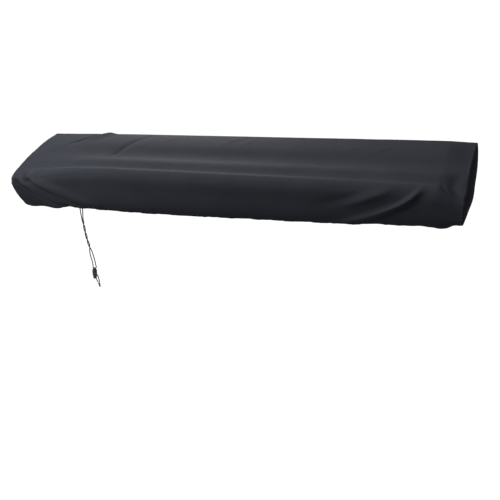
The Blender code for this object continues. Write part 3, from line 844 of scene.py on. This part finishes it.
@dataclass
class BodyPanel:
    """The long run of cloth over the back wall, the top and the front wall, with its hems turned up."""

    drape: Drape
    thickness: float = 0.0008
    columns: tuple[Ruling, ...] = (
        Ruling(-0.680, 0.0016), Ruling(-0.668, 0.0033), Ruling(-0.340, 0.0080),
        Ruling(0.280, 0.0033), Ruling(0.668, 0.0016), Ruling(0.680, 0.0),
    )
    grid: Array = field(init=False)
    normals: Array = field(init=False)

    def rows(self) -> Array:
        """Return the distances down the cloth of the mesh's rows."""
        line = self.drape.line
        return ruled([
            Ruling(line("back hem"), 0.0035), Ruling(line("back turn"), 0.0075),
            Ruling(line("back shoulder"), 0.0030), Ruling(line("panel back"), 0.0046),
            Ruling(line("dip"), 0.0033), Ruling(line("front hem"), 0.0),
        ])

    def build(self, look: Material) -> Object:
        """Make the panel and return it."""
        xs, downs = ruled(self.columns), self.rows()
        self.grid, self.normals = self.drape.points(xs, downs)
        flat = np.stack(np.broadcast_arrays(xs[:, None], downs[None, :]), -1)
        points, pattern = self.turn_all(self.grid, self.normals, flat)
        piece = sheet_object("cover_body_cloth", points, pattern, Vector((0, 0, 1)))
        thicken(piece, self.thickness)
        dress(piece, look, CLOTH_SLOT, "body_panel")
        width = float(downs[-1] - downs[0]) + 2 * hem_allowance()
        return piece

    def turn_all(
        self, points: Array, normals: Array, flat: Array
    ) -> tuple[Array, Array]:
        """Turn the end edges into the seams and the hems under, and return all points and pattern places."""
        for way in (1, -1):
            edge, more = turned_edge(points[::way], normals[::way], flat[::way], SEAM_TURN)
            points = np.concatenate([points[::way], edge])[::way]
            flat = np.concatenate([flat[::way], more])[::way]
            normals = grid_normals(points)
        points, flat, normals = by_rows(points, flat, normals)
        for way in (1, -1):
            edge, more = turned_edge(points[::way], normals[::way], flat[::way], HEM_TURN)
            points = np.concatenate([points[::way], edge])[::way]
            flat = np.concatenate([flat[::way], more])[::way]
            last = np.repeat(normals[::way][-1:], len(edge), 0)
            normals = np.concatenate([normals[::way], last])[::way]
        points, flat = by_rows(points, flat)
        return points, flat


def hem_allowance() -> float:
    """Return the length of cloth that a hem takes up behind its edge."""
    places = np.array([(0.0, 0.0)] + [tuple(turn) for turn in HEM_TURN])
    return float(np.linalg.norm(np.diff(places, axis=0), axis=1).sum())


@dataclass
class EndPanel:
    """The shaped panel that closes one end, sewn along three sides and hemmed along the fourth."""

    drape: Drape
    end: End
    bulge: float = 0.0104
    lean: float = 0.15
    draw: float = 0.001
    across: int = 64
    high: int = 44
    thickness: float = 0.0008
    full_at: float = 1.06
    drawn_from: float = 0.72
    pleat: float = 0.0011
    waver: float = 0.0014
    seam_out: float = 0.0006
    seam_in: float = 0.0016
    seam_narrow: float = 0.0022
    seam_allowance: float = 0.003
    grid: Array = field(init=False)
    normals: Array = field(init=False)

    def rim(self) -> tuple[Array, Array]:
        """Return the points of the body panel's edge and their distances along it."""
        line = self.drape.line
        downs = ruled([Ruling(line("back hem"), 0.0015), Ruling(line("front hem"), 0.0)])
        xs = np.sort(self.end.value * self.drape.half_length * np.array([1.0, 0.995, 0.99]))
        points, _ = self.drape.points(xs, downs)
        return points[-1 if self.end is End.RIGHT else 0], downs

    def side(self, rim: Array, downs: Array, start: float, stop: float, count: int) -> Array:
        """Return evenly spaced points of one side of the rim."""
        return read_path(np.linspace(start, stop, count + 1), downs, rim)

    def sewn_grid(self) -> Array:
        """Span the rim with a grid, [across from back to front, from the top to the hem, xyz]."""
        rim, downs = self.rim()
        line = self.drape.line
        back = self.side(rim, downs, line("back shoulder"), line("back hem"), self.high)
        top = self.side(rim, downs, line("back shoulder"), line("front shoulder"), self.across)
        front = self.side(rim, downs, line("front shoulder"), line("front hem"), self.high)
        u = np.linspace(0, 1, self.across + 1)[:, None, None]
        v = np.linspace(0, 1, self.high + 1)[None, :, None]
        hem = back[-1] * (1 - u) + front[-1] * u
        sides = top[:, None] * (1 - v) + hem * v + back[None] * (1 - u) + front[None] * u
        upper = top[0] * (1 - u) * (1 - v), top[-1] * u * (1 - v)
        lower = back[-1] * (1 - u) * v, front[-1] * u * v
        return sides - upper[0] - upper[1] - lower[0] - lower[1]

    def belly(self) -> Array:
        """Return how far out the cloth stands over the grid, drawn in near its hem."""
        u = np.linspace(0, 1, self.across + 1)[:, None]
        v = np.linspace(0, 1, self.high + 1)[None, :]
        arch = np.sin(pi * u).clip(0.0)
        fall = np.sin(pi * np.minimum(1.0, v * self.full_at)).clip(0.0) ** 0.8
        out = self.bulge * arch**0.5 * fall
        out = out * (1.0 + self.lean * np.cos(pi * u))
        drawn = self.draw * arch**1.5 * ((v - self.drawn_from).clip(0.0) / (1 - self.drawn_from)) ** 1.6
        pleats = self.pleat * np.sin(2 * pi * (8.5 * u + 0.35 * np.sin(2 * pi * 2.3 * u))) * v**5 * arch
        soft = self.waver * np.sin(2 * pi * (1.4 * u + 0.9 * v)) * arch * np.sin(pi * v).clip(0.0)
        return out - drawn + pleats + soft

    def build(self, look: Material) -> Object:
        """Make the panel and return it."""
        way = self.end.value
        points = self.sewn_grid()
        points[..., 0] += way * (self.seam_out + self.belly())
        flat = np.stack([points[..., 1], points[..., 2]], -1)
        normals = grid_normals(points) * self.facing(points)
        self.grid, self.normals = points, normals
        hem, more = by_rows(*turned_edge(*by_rows(points, normals, flat), HEM_TURN))
        points, flat = np.concatenate([points, hem], 1), np.concatenate([flat, more], 1)
        points, flat = self.turn_rim(points, flat)
        name = f"cover_end_cloth_{self.end.name.lower()}"
        piece = sheet_object(name, points, flat, Vector((way, 0, 0)))
        thicken(piece, self.thickness)
        dress(piece, look, CLOTH_SLOT, f"end_panel_{self.end.name.lower()}")
        size = flat.reshape(-1, 2).max(0) - flat.reshape(-1, 2).min(0)
        return piece

    def facing(self, points: Array) -> float:
        """Return 1 where the grid's own normals look out of this end, and -1 where they look in."""
        middle = grid_normals(points)[self.across // 2, self.high // 2]
        return 1.0 if middle[0] * self.end.value > 0 else -1.0

    def turn_rim(self, points: Array, flat: Array) -> tuple[Array, Array]:
        """Turn the three sewn sides in towards the inside of the cover."""
        centre = points.mean((0, 1))
        inward = np.array([-self.end.value * self.seam_in, 0.0, 0.0])

        def turned(rim: Array) -> Array:
            """Return a side's points moved into the seam."""
            towards = unit(centre - rim) * self.seam_narrow
            towards[:, 0] = 0.0
            return rim + inward + towards

        points = np.concatenate([turned(points[0])[None], points, turned(points[-1])[None]], 0)
        points = np.concatenate([turned(points[:, 0])[:, None], points], 1)
        step = self.seam_allowance
        flat = np.concatenate([flat[:1] + (step, 0.0), flat, flat[-1:] - (step, 0.0)], 0)
        flat = np.concatenate([flat[:, :1] + (0.0, step), flat], 1)
        return points, flat


@dataclass
class Stitching:
    """Rows of lockstitch that hold the hems and run beside the end seams."""

    pitch: float = 0.0036
    length: float = 0.0027
    radius: float = 0.00028
    hem_distance: float = 0.0145
    seam_distance: float = 0.0042

    def row(self, path: Array, normals: Array) -> Mesh:
        """Sew one row.

        Args:
            path: Points along the row.
            normals: The cloth's outward normals there.

        Returns:
            The mesh of its stitches.
        """
        work = bmesh.new()
        runs = runs_along(path)
        starts = np.arange(self.pitch / 2, runs[-1] - self.pitch / 2, self.pitch)
        first, last = read_path(starts, runs, path), read_path(starts + self.length, runs, path)
        lean = unit(read_path(starts + self.length / 2, runs, normals))
        for a, b, up in zip(first, last, lean):
            middle = Vector((a + b) / 2 + up * self.radius * 0.5)
            along = Vector(b - a).normalized()
            side = Vector(up).cross(along).normalized()
            turned = Matrix((along, side, along.cross(side))).transposed().to_4x4()
            sized = Matrix.Diagonal((self.length / 2, self.radius, self.radius, 1.0))
            place = Matrix.Translation(middle) @ turned @ sized @ Matrix.Rotation(pi / 2, 4, "Y")
            bmesh.ops.create_uvsphere(work, u_segments=5, v_segments=4, radius=1.0, matrix=place)
        return mesh_from(work, "stitch_row")

    def build(self, body: BodyPanel, ends: Sequence[EndPanel], look: Material) -> Object:
        """Sew all rows and return them as one piece."""
        rows = []
        grid, normals = by_rows(body.grid, body.normals)
        for way in (1, -1):
            rows.append(self.row(*near_edge(grid[::way], normals[::way], self.hem_distance)))
            rows.append(self.row(*near_edge(body.grid[::way], body.normals[::way], self.seam_distance)))
        for end in ends:
            rows.append(self.row(*near_edge(*by_rows(end.grid, end.normals), self.hem_distance)))
        return dress(link("cover_stitching", joined("cover_stitching", rows)), look, CLOTH_SLOT)


# ---- Drawcord, lock and knot ----


def smooth_route(points: Sequence[Sequence[float]], spacing: float) -> Array:
    """Return points on a smooth curve through the route's points, closer together in its short legs."""
    places = np.array(points, float)
    legs = np.linalg.norm(np.diff(places, axis=0), axis=1)
    knots = runs_along(places)
    wanted = [0.0]
    for start, leg in zip(knots, legs):
        parts = max(1, round(leg / spacing))
        wanted += [start + leg * (k + 1) / parts for k in range(parts)]
    return np.stack([rounded_curve(knots, places[:, axis], np.array(wanted)) for axis in range(3)], 1)


def tube_object(name: str, path: Array, radii: Array, sides: int) -> Object:
    """Make a closed tube along a path.

    Args:
        name: The piece's name.
        path: Points along its middle.
        radii: Its radius at each of them.
        sides: The number of its sides.

    Returns:
        The linked object, with a pattern map of turns round it and metres along it.
    """
    work = bmesh.new()
    layer = work.loops.layers.uv.new(PATTERN)
    places = [Vector(p) for p in path]
    runs = runs_along(path)
    ways = [(b - a).normalized() for a, b in zip([places[0]] + places[:-1], places[1:] + [places[-1]])]
    side = ways[0].orthogonal().normalized()
    rings = []
    for k, (place, way) in enumerate(zip(places, ways)):
        side = (side - way * side.dot(way)).normalized()
        turned = Matrix((side, way.cross(side), way)).transposed().to_4x4()
        circle = bmesh.ops.create_circle(
            work, cap_ends=False, segments=sides, radius=float(radii[k]),
            matrix=Matrix.Translation(place) @ turned,
        )
        rings.append(circle["verts"])
    for k, (low, high) in enumerate(zip(rings[:-1], rings[1:])):
        for m in range(sides):
            n = (m + 1) % sides
            face = work.faces.new((low[m], low[n], high[n], high[m]))
            spots = ((m, k), (m + 1, k), (m + 1, k + 1), (m, k + 1))
            for loop, (turn, along) in zip(face.loops, spots):
                loop[layer].uv = (turn / sides, runs[along])
    for ring in (rings[0], rings[-1]):
        bmesh.ops.contextual_create(work, geom=ring)
    bmesh.ops.recalc_face_normals(work, faces=work.faces)
    return link(name, mesh_from(work, name))


STRAND_ROUTES = {
    "left": [
        (-0.4562, -0.1054, -0.1453), (-0.4558, -0.1067, -0.1524), (-0.4542, -0.1096, -0.1640),
        (-0.4526, -0.1120, -0.1780), (-0.4505, -0.1141, -0.1910), (-0.4491, -0.1120, -0.2040),
        (-0.4516, -0.1099, -0.2180), (-0.4539, -0.1120, -0.2310), (-0.4514, -0.1141, -0.2440),
        (-0.4484, -0.1120, -0.2570), (-0.4490, -0.1099, -0.2710), (-0.4501, -0.1105, -0.2775),
        (-0.4503, -0.1125, -0.2840), (-0.4510, -0.1151, -0.3050),
        (-0.4502, -0.1142, -0.3230), (-0.4506, -0.1144, -0.3410),
        (-0.4516, -0.1156, -0.3500), (-0.4515, -0.1159, -0.3562), (-0.4506, -0.1169, -0.3590),
        (-0.4492, -0.1184, -0.3599), (-0.4441, -0.1240, -0.3602), (-0.4390, -0.1295, -0.3604),
        (-0.4376, -0.1310, -0.3614), (-0.4363, -0.1318, -0.3642), (-0.4350, -0.1311, -0.3690),
        (-0.4350, -0.1312, -0.3797), (-0.4341, -0.1298, -0.3880), (-0.4331, -0.1285, -0.3947),
    ],
    "right": [
        (-0.4468, -0.1054, -0.1454), (-0.4466, -0.1067, -0.1524), (-0.4470, -0.1096, -0.1640),
        (-0.4480, -0.1120, -0.1780), (-0.4505, -0.1099, -0.1910), (-0.4533, -0.1120, -0.2040),
        (-0.4516, -0.1141, -0.2180), (-0.4497, -0.1120, -0.2310), (-0.4514, -0.1099, -0.2440),
        (-0.4526, -0.1120, -0.2570), (-0.4490, -0.1141, -0.2710), (-0.4470, -0.1135, -0.2775),
        (-0.4459, -0.1115, -0.2840), (-0.4445, -0.1091, -0.3073),
        (-0.4439, -0.1086, -0.3250), (-0.4442, -0.1089, -0.3417),
        (-0.4440, -0.1087, -0.3500), (-0.4474, -0.1114, -0.3552), (-0.4481, -0.1137, -0.3586),
        (-0.4463, -0.1157, -0.3599), (-0.4411, -0.1212, -0.3602), (-0.4360, -0.1268, -0.3604),
        (-0.4345, -0.1282, -0.3614), (-0.4331, -0.1286, -0.3640), (-0.4303, -0.1270, -0.3689),
        (-0.4295, -0.1264, -0.3787), (-0.4290, -0.1265, -0.3880), (-0.4291, -0.1269, -0.3951),
    ],
}


@dataclass
class Drawcord:
    """The two strands that hang from the hem to the knot."""

    radius: float = 0.00165
    sides: int = 16
    spacing: float = 0.0012
    channel: float = 0.0030

    def strand(self, side: str, look: Material) -> tuple[Object, Array]:
        """Make one strand and return it with the points that it follows."""
        route = STRAND_ROUTES[side]
        start = (route[0][0], route[0][1], route[0][2] + self.channel)
        path = smooth_route([start, *route], self.spacing)
        piece = tube_object(f"drawcord_strand_{side}", path, np.full(len(path), self.radius), self.sides)
        return dress(piece, look, CORD_SLOT, f"cord_strand_{side}"), path

    def declare(self, piece: Object, path: Array, exit_at: Vector, *others: Any) -> None:
        """Work out how long the strand is and list its points, without keeping either."""
        length = float(np.linalg.norm(np.diff(path, axis=0), axis=1).sum())
        [tuple(p) for p in path]


@dataclass
class Knot:
    """The overhand knot at the strands' ends, with its two short cut tails."""

    centre: Vector = field(default_factory=lambda: Vector((-0.4310, -0.1276, -0.4003)))
    size: float = 0.0046
    tail: float = 0.0100
    radius: float = 0.0015

    def build(self, look: Material) -> Object:
        """Make the knot and return it."""
        t = np.linspace(0.0, 2 * pi, 96)
        loop = (self.size - self.radius) / 3.0
        wound = np.stack([
            (np.sin(t) + 2 * np.sin(2 * t)) * loop,
            -np.sin(3 * t) * loop * 1.25,
            (np.cos(t) - 2 * np.cos(2 * t)) * loop,
        ], 1)
        path = wound + np.array(self.centre)
        knot = tube_object("drawcord_knot", path, np.full(len(path), self.radius * 1.05), 12)
        tails = [self.one_tail(k, lean) for k, lean in enumerate((-0.22, 0.16))]
        parts = [piece.data for piece in (knot, *tails)]
        for piece in (knot, *tails):
            bpy.data.objects.remove(piece)
        return dress(link("drawcord_knot", joined("drawcord_knot", parts)), look, CORD_SLOT, "cord_knot")

    def one_tail(self, index: int, lean: float) -> Object:
        """Make one cut tail that hangs from the knot, its end sealed to a blunt tip."""
        s = np.linspace(0.0, 1.0, 14)
        drop = self.size * 0.5 + self.tail * (1.0 - 0.12 * index) * s
        path = np.stack([
            self.centre.x + lean * self.tail * s**1.5 + 0.0009 * (2 * index - 1),
            self.centre.y + 0.0006 * np.sin(3 * s) + 0 * s,
            self.centre.z - drop,
        ], 1)
        radii = np.full(len(s), self.radius * 0.95)
        radii[-2:] = self.radius * 0.8, self.radius * 0.45
        return tube_object(f"drawcord_tail_{index}", path, radii, 10)


@dataclass
class CordLock:
    """The sprung cord lock: a tapered barrel with an oval cross hole, and the button on top."""

    hole: Vector = field(default_factory=lambda: Vector((-0.4426, -0.1226, -0.3602)))
    turn: float = radians(43)
    lean: float = radians(8)
    top: float = 0.0080
    foot: float = -0.0230
    radius: float = 0.0075
    foot_radius: float = 0.0054
    button_radius: float = 0.0052
    button_height: float = 0.0062
    gap: float = 0.0004
    hole_width: float = 0.0094
    hole_height: float = 0.0054
    edge: float = 0.0012
    foot_edge: float = 0.0011
    grips: int = 5
    grip_depth: float = 0.00028
    grip_range: tuple[float, float] = (0.12, 0.92)
    sides: int = 64

    def place(self) -> Matrix:
        """Return where the lock hangs."""
        turned = Matrix.Rotation(self.turn, 4, "Z") @ Matrix.Rotation(self.lean, 4, "Y")
        return Matrix.Translation(self.hole) @ turned

    def turned(self, name: str, profile: Sequence[tuple[float, float]]) -> Object:
        """Spin a profile of (radius, height) into a closed shape about the lock's axis."""
        work = bmesh.new()
        verts = [work.verts.new((max(r, 0.0), 0.0, z)) for r, z in profile]
        edges = [work.edges.new(pair) for pair in zip(verts[:-1], verts[1:])]
        bmesh.ops.spin(
            work, geom=verts + edges, cent=(0, 0, 0), axis=(0, 0, 1), dvec=(0, 0, 0), angle=2 * pi,
            steps=self.sides, use_merge=True, use_duplicate=False,
        )
        bmesh.ops.remove_doubles(work, verts=work.verts, dist=1e-6)
        bmesh.ops.recalc_face_normals(work, faces=work.faces)
        mesh = mesh_from(work, name)
        mesh.set_sharp_from_angle(angle=CRISP)
        return link(name, mesh)

    def rounded(self, radius: float, high: float, edge: float, steps: int) -> list[tuple[float, float]]:
        """Return the rounded upper edge of a turned shape, from its wall to its top."""
        angles = np.linspace(0.0, pi / 2, steps)
        return [(radius - edge * (1 - cos(a)), high - edge * (1 - sin(a))) for a in angles]

    def grip(self, share: float) -> float:
        """Return how deep a grip ring cuts in at a share of the way from the foot to the middle."""
        first, last = self.grip_range
        if not first < share < last:
            return 0.0
        return self.grip_depth * (0.5 + 0.5 * cos(2 * pi * share * self.grips))

    def barrel_profile(self) -> list[tuple[float, float]]:
        """Return the barrel's outline from the middle of its foot to the middle of its top."""
        low, high = self.foot, self.top
        middle = (low + high) / 2
        foot, turn = self.foot_radius, self.foot_edge
        outline = [(0.0, low + 0.0008), (0.0030, low + 0.0008), (0.0036, low), (foot - turn, low)]
        outline += [
            (foot - turn * (1 - sin(a)), low + turn * (1 - cos(a))) for a in np.linspace(0.3, pi / 2, 4)
        ]
        for k in range(24):
            z = low + 0.0016 + (middle - low - 0.0016) * k / 23
            share = (z - low) / (middle - low)
            wide = foot + (self.radius - foot) * share
            outline.append((wide - self.grip(share), z))
        wall, lip, rim = self.radius, self.radius + 0.0003, self.button_radius
        outline += [(wall, middle + 0.001), (wall, high - 0.0022), (lip, high - 0.0018)]
        outline += self.rounded(wall, high, self.edge, 5)
        return outline + [(rim + 0.0004, high), (rim + 0.0002, high - 0.0010), (0.0, high - 0.0010)]

    def button_profile(self) -> list[tuple[float, float]]:
        """Return the button's outline, with a shallow thumb dish."""
        low, high, wide = self.top + self.gap, self.top + self.button_height, self.button_radius
        dish = [(0.0030, high - 0.0001), (0.0018, high - 0.0004), (0.0, high - 0.0005)]
        upper = self.rounded(wide, high, self.edge, 6)
        return [(0.0, low), (wide - 0.0003, low), (wide, low + 0.0003), *upper, *dish]

    def bore(self, barrel: Object) -> None:
        """Cut the oval hole through the barrel, along Y."""
        work = bmesh.new()
        bmesh.ops.create_circle(work, cap_ends=True, segments=40, radius=self.hole_height / 2)
        stretch = (self.hole_width - self.hole_height) / 2
        for vert in work.verts:
            vert.co.x += stretch if vert.co.x > 1e-7 else -stretch if vert.co.x < -1e-7 else 0.0
        bmesh.ops.rotate(work, verts=work.verts, cent=(0, 0, 0), matrix=Matrix.Rotation(pi / 2, 3, "X"))
        bmesh.ops.translate(work, verts=work.verts, vec=(0.0, -self.radius * 1.6, 0.0))
        out = bmesh.ops.extrude_face_region(work, geom=work.faces[:])
        moved = [v for v in out["geom"] if isinstance(v, bmesh.types.BMVert)]
        bmesh.ops.translate(work, verts=moved, vec=(0.0, self.radius * 3.2, 0.0))
        bmesh.ops.recalc_face_normals(work, faces=work.faces)
        cutter = link("lock_bore", mesh_from(work, "lock_bore"))
        cut = barrel.modifiers.new("bore", "BOOLEAN")
        cut.operation, cut.object, cut.solver = "DIFFERENCE", cutter, "EXACT"
        rounded = barrel.modifiers.new("edges", "BEVEL")
        rounded.width, rounded.segments, rounded.limit_method = 0.0004, 3, "ANGLE"
        rounded.angle_limit = radians(50)
        barrel.data = apply_modifiers(barrel)
        bpy.data.objects.remove(cutter)

    def build(self, look: Material) -> tuple[Object, Object]:
        """Make the barrel and the button and return them."""
        barrel = self.turned("cord_lock_barrel_moulded", self.barrel_profile())
        self.bore(barrel)
        button = self.turned("cord_lock_button_moulded", self.button_profile())
        for piece in (barrel, button):
            piece.data.transform(self.place())
            piece.data.update()
        dress(barrel, look, PLASTIC_SLOT, "cord_lock_barrel")
        dress(button, look, PLASTIC_SLOT, "cord_lock_button")
        return barrel, button


def apply_modifiers(piece: Object) -> Mesh:
    """Return a piece's mesh with its modifiers applied, and clear them."""
    ready = bpy.context.evaluated_depsgraph_get()
    mesh = bpy.data.meshes.new_from_object(piece.evaluated_get(ready))
    piece.modifiers.clear()
    mesh.name = piece.name
    mesh.shade_smooth()
    mesh.set_sharp_from_angle(angle=CRISP)
    return mesh


# ---- Studio ----


@dataclass
class Studio:
    """Camera, plain white floor and soft lights."""

    eye: tuple[float, float, float] = (0.8055, -1.4749, 0.5117)
    yaw: float = -0.4653
    pitch: float = -0.4511
    roll: float = -0.1122
    focal_pixels: float = 607.573
    picture: float = 500.0
    sensor: float = 36.0
    floor_level: float = -0.768
    floor_size: float = 60.0
    key_strength: float = 5.95
    key_softness: float = radians(40)
    key_height: float = radians(58)
    key_side: float = radians(90)
    front_power: float = 80.0
    back_power: float = 30.0
    room_range: tuple[float, float] = (0.70, 0.0)

    def camera(self) -> Object:
        """Make the camera at the photograph's viewpoint."""
        data = bpy.data.cameras.new("camera")
        data.sensor_width = self.sensor
        data.lens = self.focal_pixels * self.sensor / self.picture
        data.clip_end = 200.0
        made = bpy.data.objects.new("camera", data)
        ahead = Vector((sin(self.yaw) * cos(self.pitch), cos(self.yaw) * cos(self.pitch), sin(self.pitch)))
        level = Vector((cos(self.yaw), -sin(self.yaw), 0.0))
        above = level.cross(ahead)
        right = level * cos(self.roll) + above * sin(self.roll)
        up = above * cos(self.roll) - level * sin(self.roll)
        made.matrix_world = Matrix.Translation(self.eye) @ Matrix((right, up, -ahead)).transposed().to_4x4()
        bpy.context.scene.collection.objects.link(made)
        bpy.context.scene.camera = made
        return made

    def floor(self) -> Object:
        """Make the floor."""
        work = bmesh.new()
        bmesh.ops.create_grid(work, x_segments=4, y_segments=4, size=self.floor_size / 2)
        bmesh.ops.translate(work, verts=work.verts, vec=(0.0, 0.0, self.floor_level))
        made = link("studio_floor", mesh_from(work, "studio_floor"))
        made.data.materials.append(FloorFinish().build())
        made.visible_diffuse = False
        made.visible_glossy = False
        made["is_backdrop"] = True
        return made

    def area_light(
        self, name: str, at: Sequence[float], towards: Sequence[float], size: Sequence[float], power: float
    ) -> Object:
        """Make a soft rectangular light.

        Args:
            name: Its name.
            at: Where it stands.
            towards: The point that it faces.
            size: Its width and height.
            power: Its power in watts.

        Returns:
            The linked light.
        """
        data = bpy.data.lights.new(name, "AREA")
        data.shape = "RECTANGLE"
        data.size, data.size_y = size
        data.energy = power
        made = bpy.data.objects.new(name, data)
        way = Vector(towards) - Vector(at)
        made.location = at
        made.rotation_euler = way.to_track_quat("-Z", "Y").to_euler()
        bpy.context.scene.collection.objects.link(made)
        return made

    def lights(self) -> None:
        """Make the key light from high on the left and two soft boxes, in front and behind."""
        data = bpy.data.lights.new("key_left", "SUN")
        data.energy = self.key_strength
        data.angle = self.key_softness
        made = bpy.data.objects.new("key_left", data)
        height, side = self.key_height, self.key_side
        way = Vector((-sin(side) * cos(height), cos(side) * cos(height), sin(height)))
        made.rotation_euler = way.to_track_quat("Z", "Y").to_euler()
        bpy.context.scene.collection.objects.link(made)
        self.area_light("box_front_left", (-1.5, -1.3, 1.1), (-0.4, 0.0, 0.0), (0.8, 0.8), self.front_power)
        self.area_light("box_back_left", (-0.8, 1.2, 0.7), (-0.3, 0.0, 0.0), (0.8, 0.5), self.back_power)

    def room(self) -> None:
        """Make the room: light comes up from below, and the camera sees plain white."""
        world = bpy.data.worlds.new("studio_room")
        world.use_nodes = True
        tree = world.node_tree
        nodes, links = tree.nodes, tree.links
        nodes.clear()
        at = nodes.new("ShaderNodeTexCoord")
        split = nodes.new("ShaderNodeSeparateXYZ")
        ramp = nodes.new("ShaderNodeMapRange")
        for name, value in zip(("From Min", "From Max", "To Min", "To Max"), (-0.05, 0.05, *self.room_range)):
            ramp.inputs[name].default_value = value
        seen, shown, lit, mixed = (nodes.new(f"ShaderNode{kind}") for kind in (
            "LightPath", "Background", "Background", "MixShader"))
        out = nodes.new("ShaderNodeOutputWorld")
        links.new(at.outputs["Generated"], split.inputs[0])
        links.new(split.outputs["Z"], ramp.inputs["Value"])
        links.new(ramp.outputs[0], lit.inputs["Strength"])
        links.new(seen.outputs["Is Camera Ray"], mixed.inputs[0])
        links.new(lit.outputs[0], mixed.inputs[1])
        links.new(shown.outputs[0], mixed.inputs[2])
        links.new(mixed.outputs[0], out.inputs["Surface"])
        for background in (lit, shown):
            background.inputs["Color"].default_value = (1.0, 1.0, 1.0, 1.0)
        bpy.context.scene.world = world

    def build(self) -> None:
        """Make the camera, floor and lights."""
        self.camera()
        self.floor()
        self.lights()
        self.room()
        bpy.context.scene.view_settings.view_transform = "Standard"
        bpy.context.scene.view_settings.look = "None"


# ---- Assembly ----


def corners(box: tuple[Vector, Vector]) -> list[list[float]]:
    """Return a box as plain lists of numbers."""
    return [list(map(float, corner)) for corner in box]


def main() -> None:
    """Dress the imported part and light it."""
    logging.basicConfig(level=logging.INFO, format="%(asctime)s %(name)s: %(message)s")
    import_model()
    cad_box = corners(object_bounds())
    Studio().build()

    cord_look = CordFinish().build()
    cord = Drawcord()
    left, left_path = cord.strand("left", cord_look)
    right, right_path = cord.strand("right", cord_look)
    knot = Knot().build(cord_look)
    barrel, button = CordLock().build(PlasticFinish().build())
    cord.declare(left, left_path, Vector(STRAND_ROUTES["left"][0]), barrel, button)
    cord.declare(right, right_path, Vector(STRAND_ROUTES["right"][0]), knot)

    cloth_look = ClothFinish().build()
    drape = Drape()
    body = BodyPanel(drape)
    body.build(cloth_look)
    ends = [EndPanel(drape, end) for end in End]
    for end in ends:
        end.build(cloth_look)
    Stitching().build(body, ends, ThreadFinish().build())

    {"cad": cad_box, "visual": corners(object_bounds())}


if __name__ == "__main__":
    main()
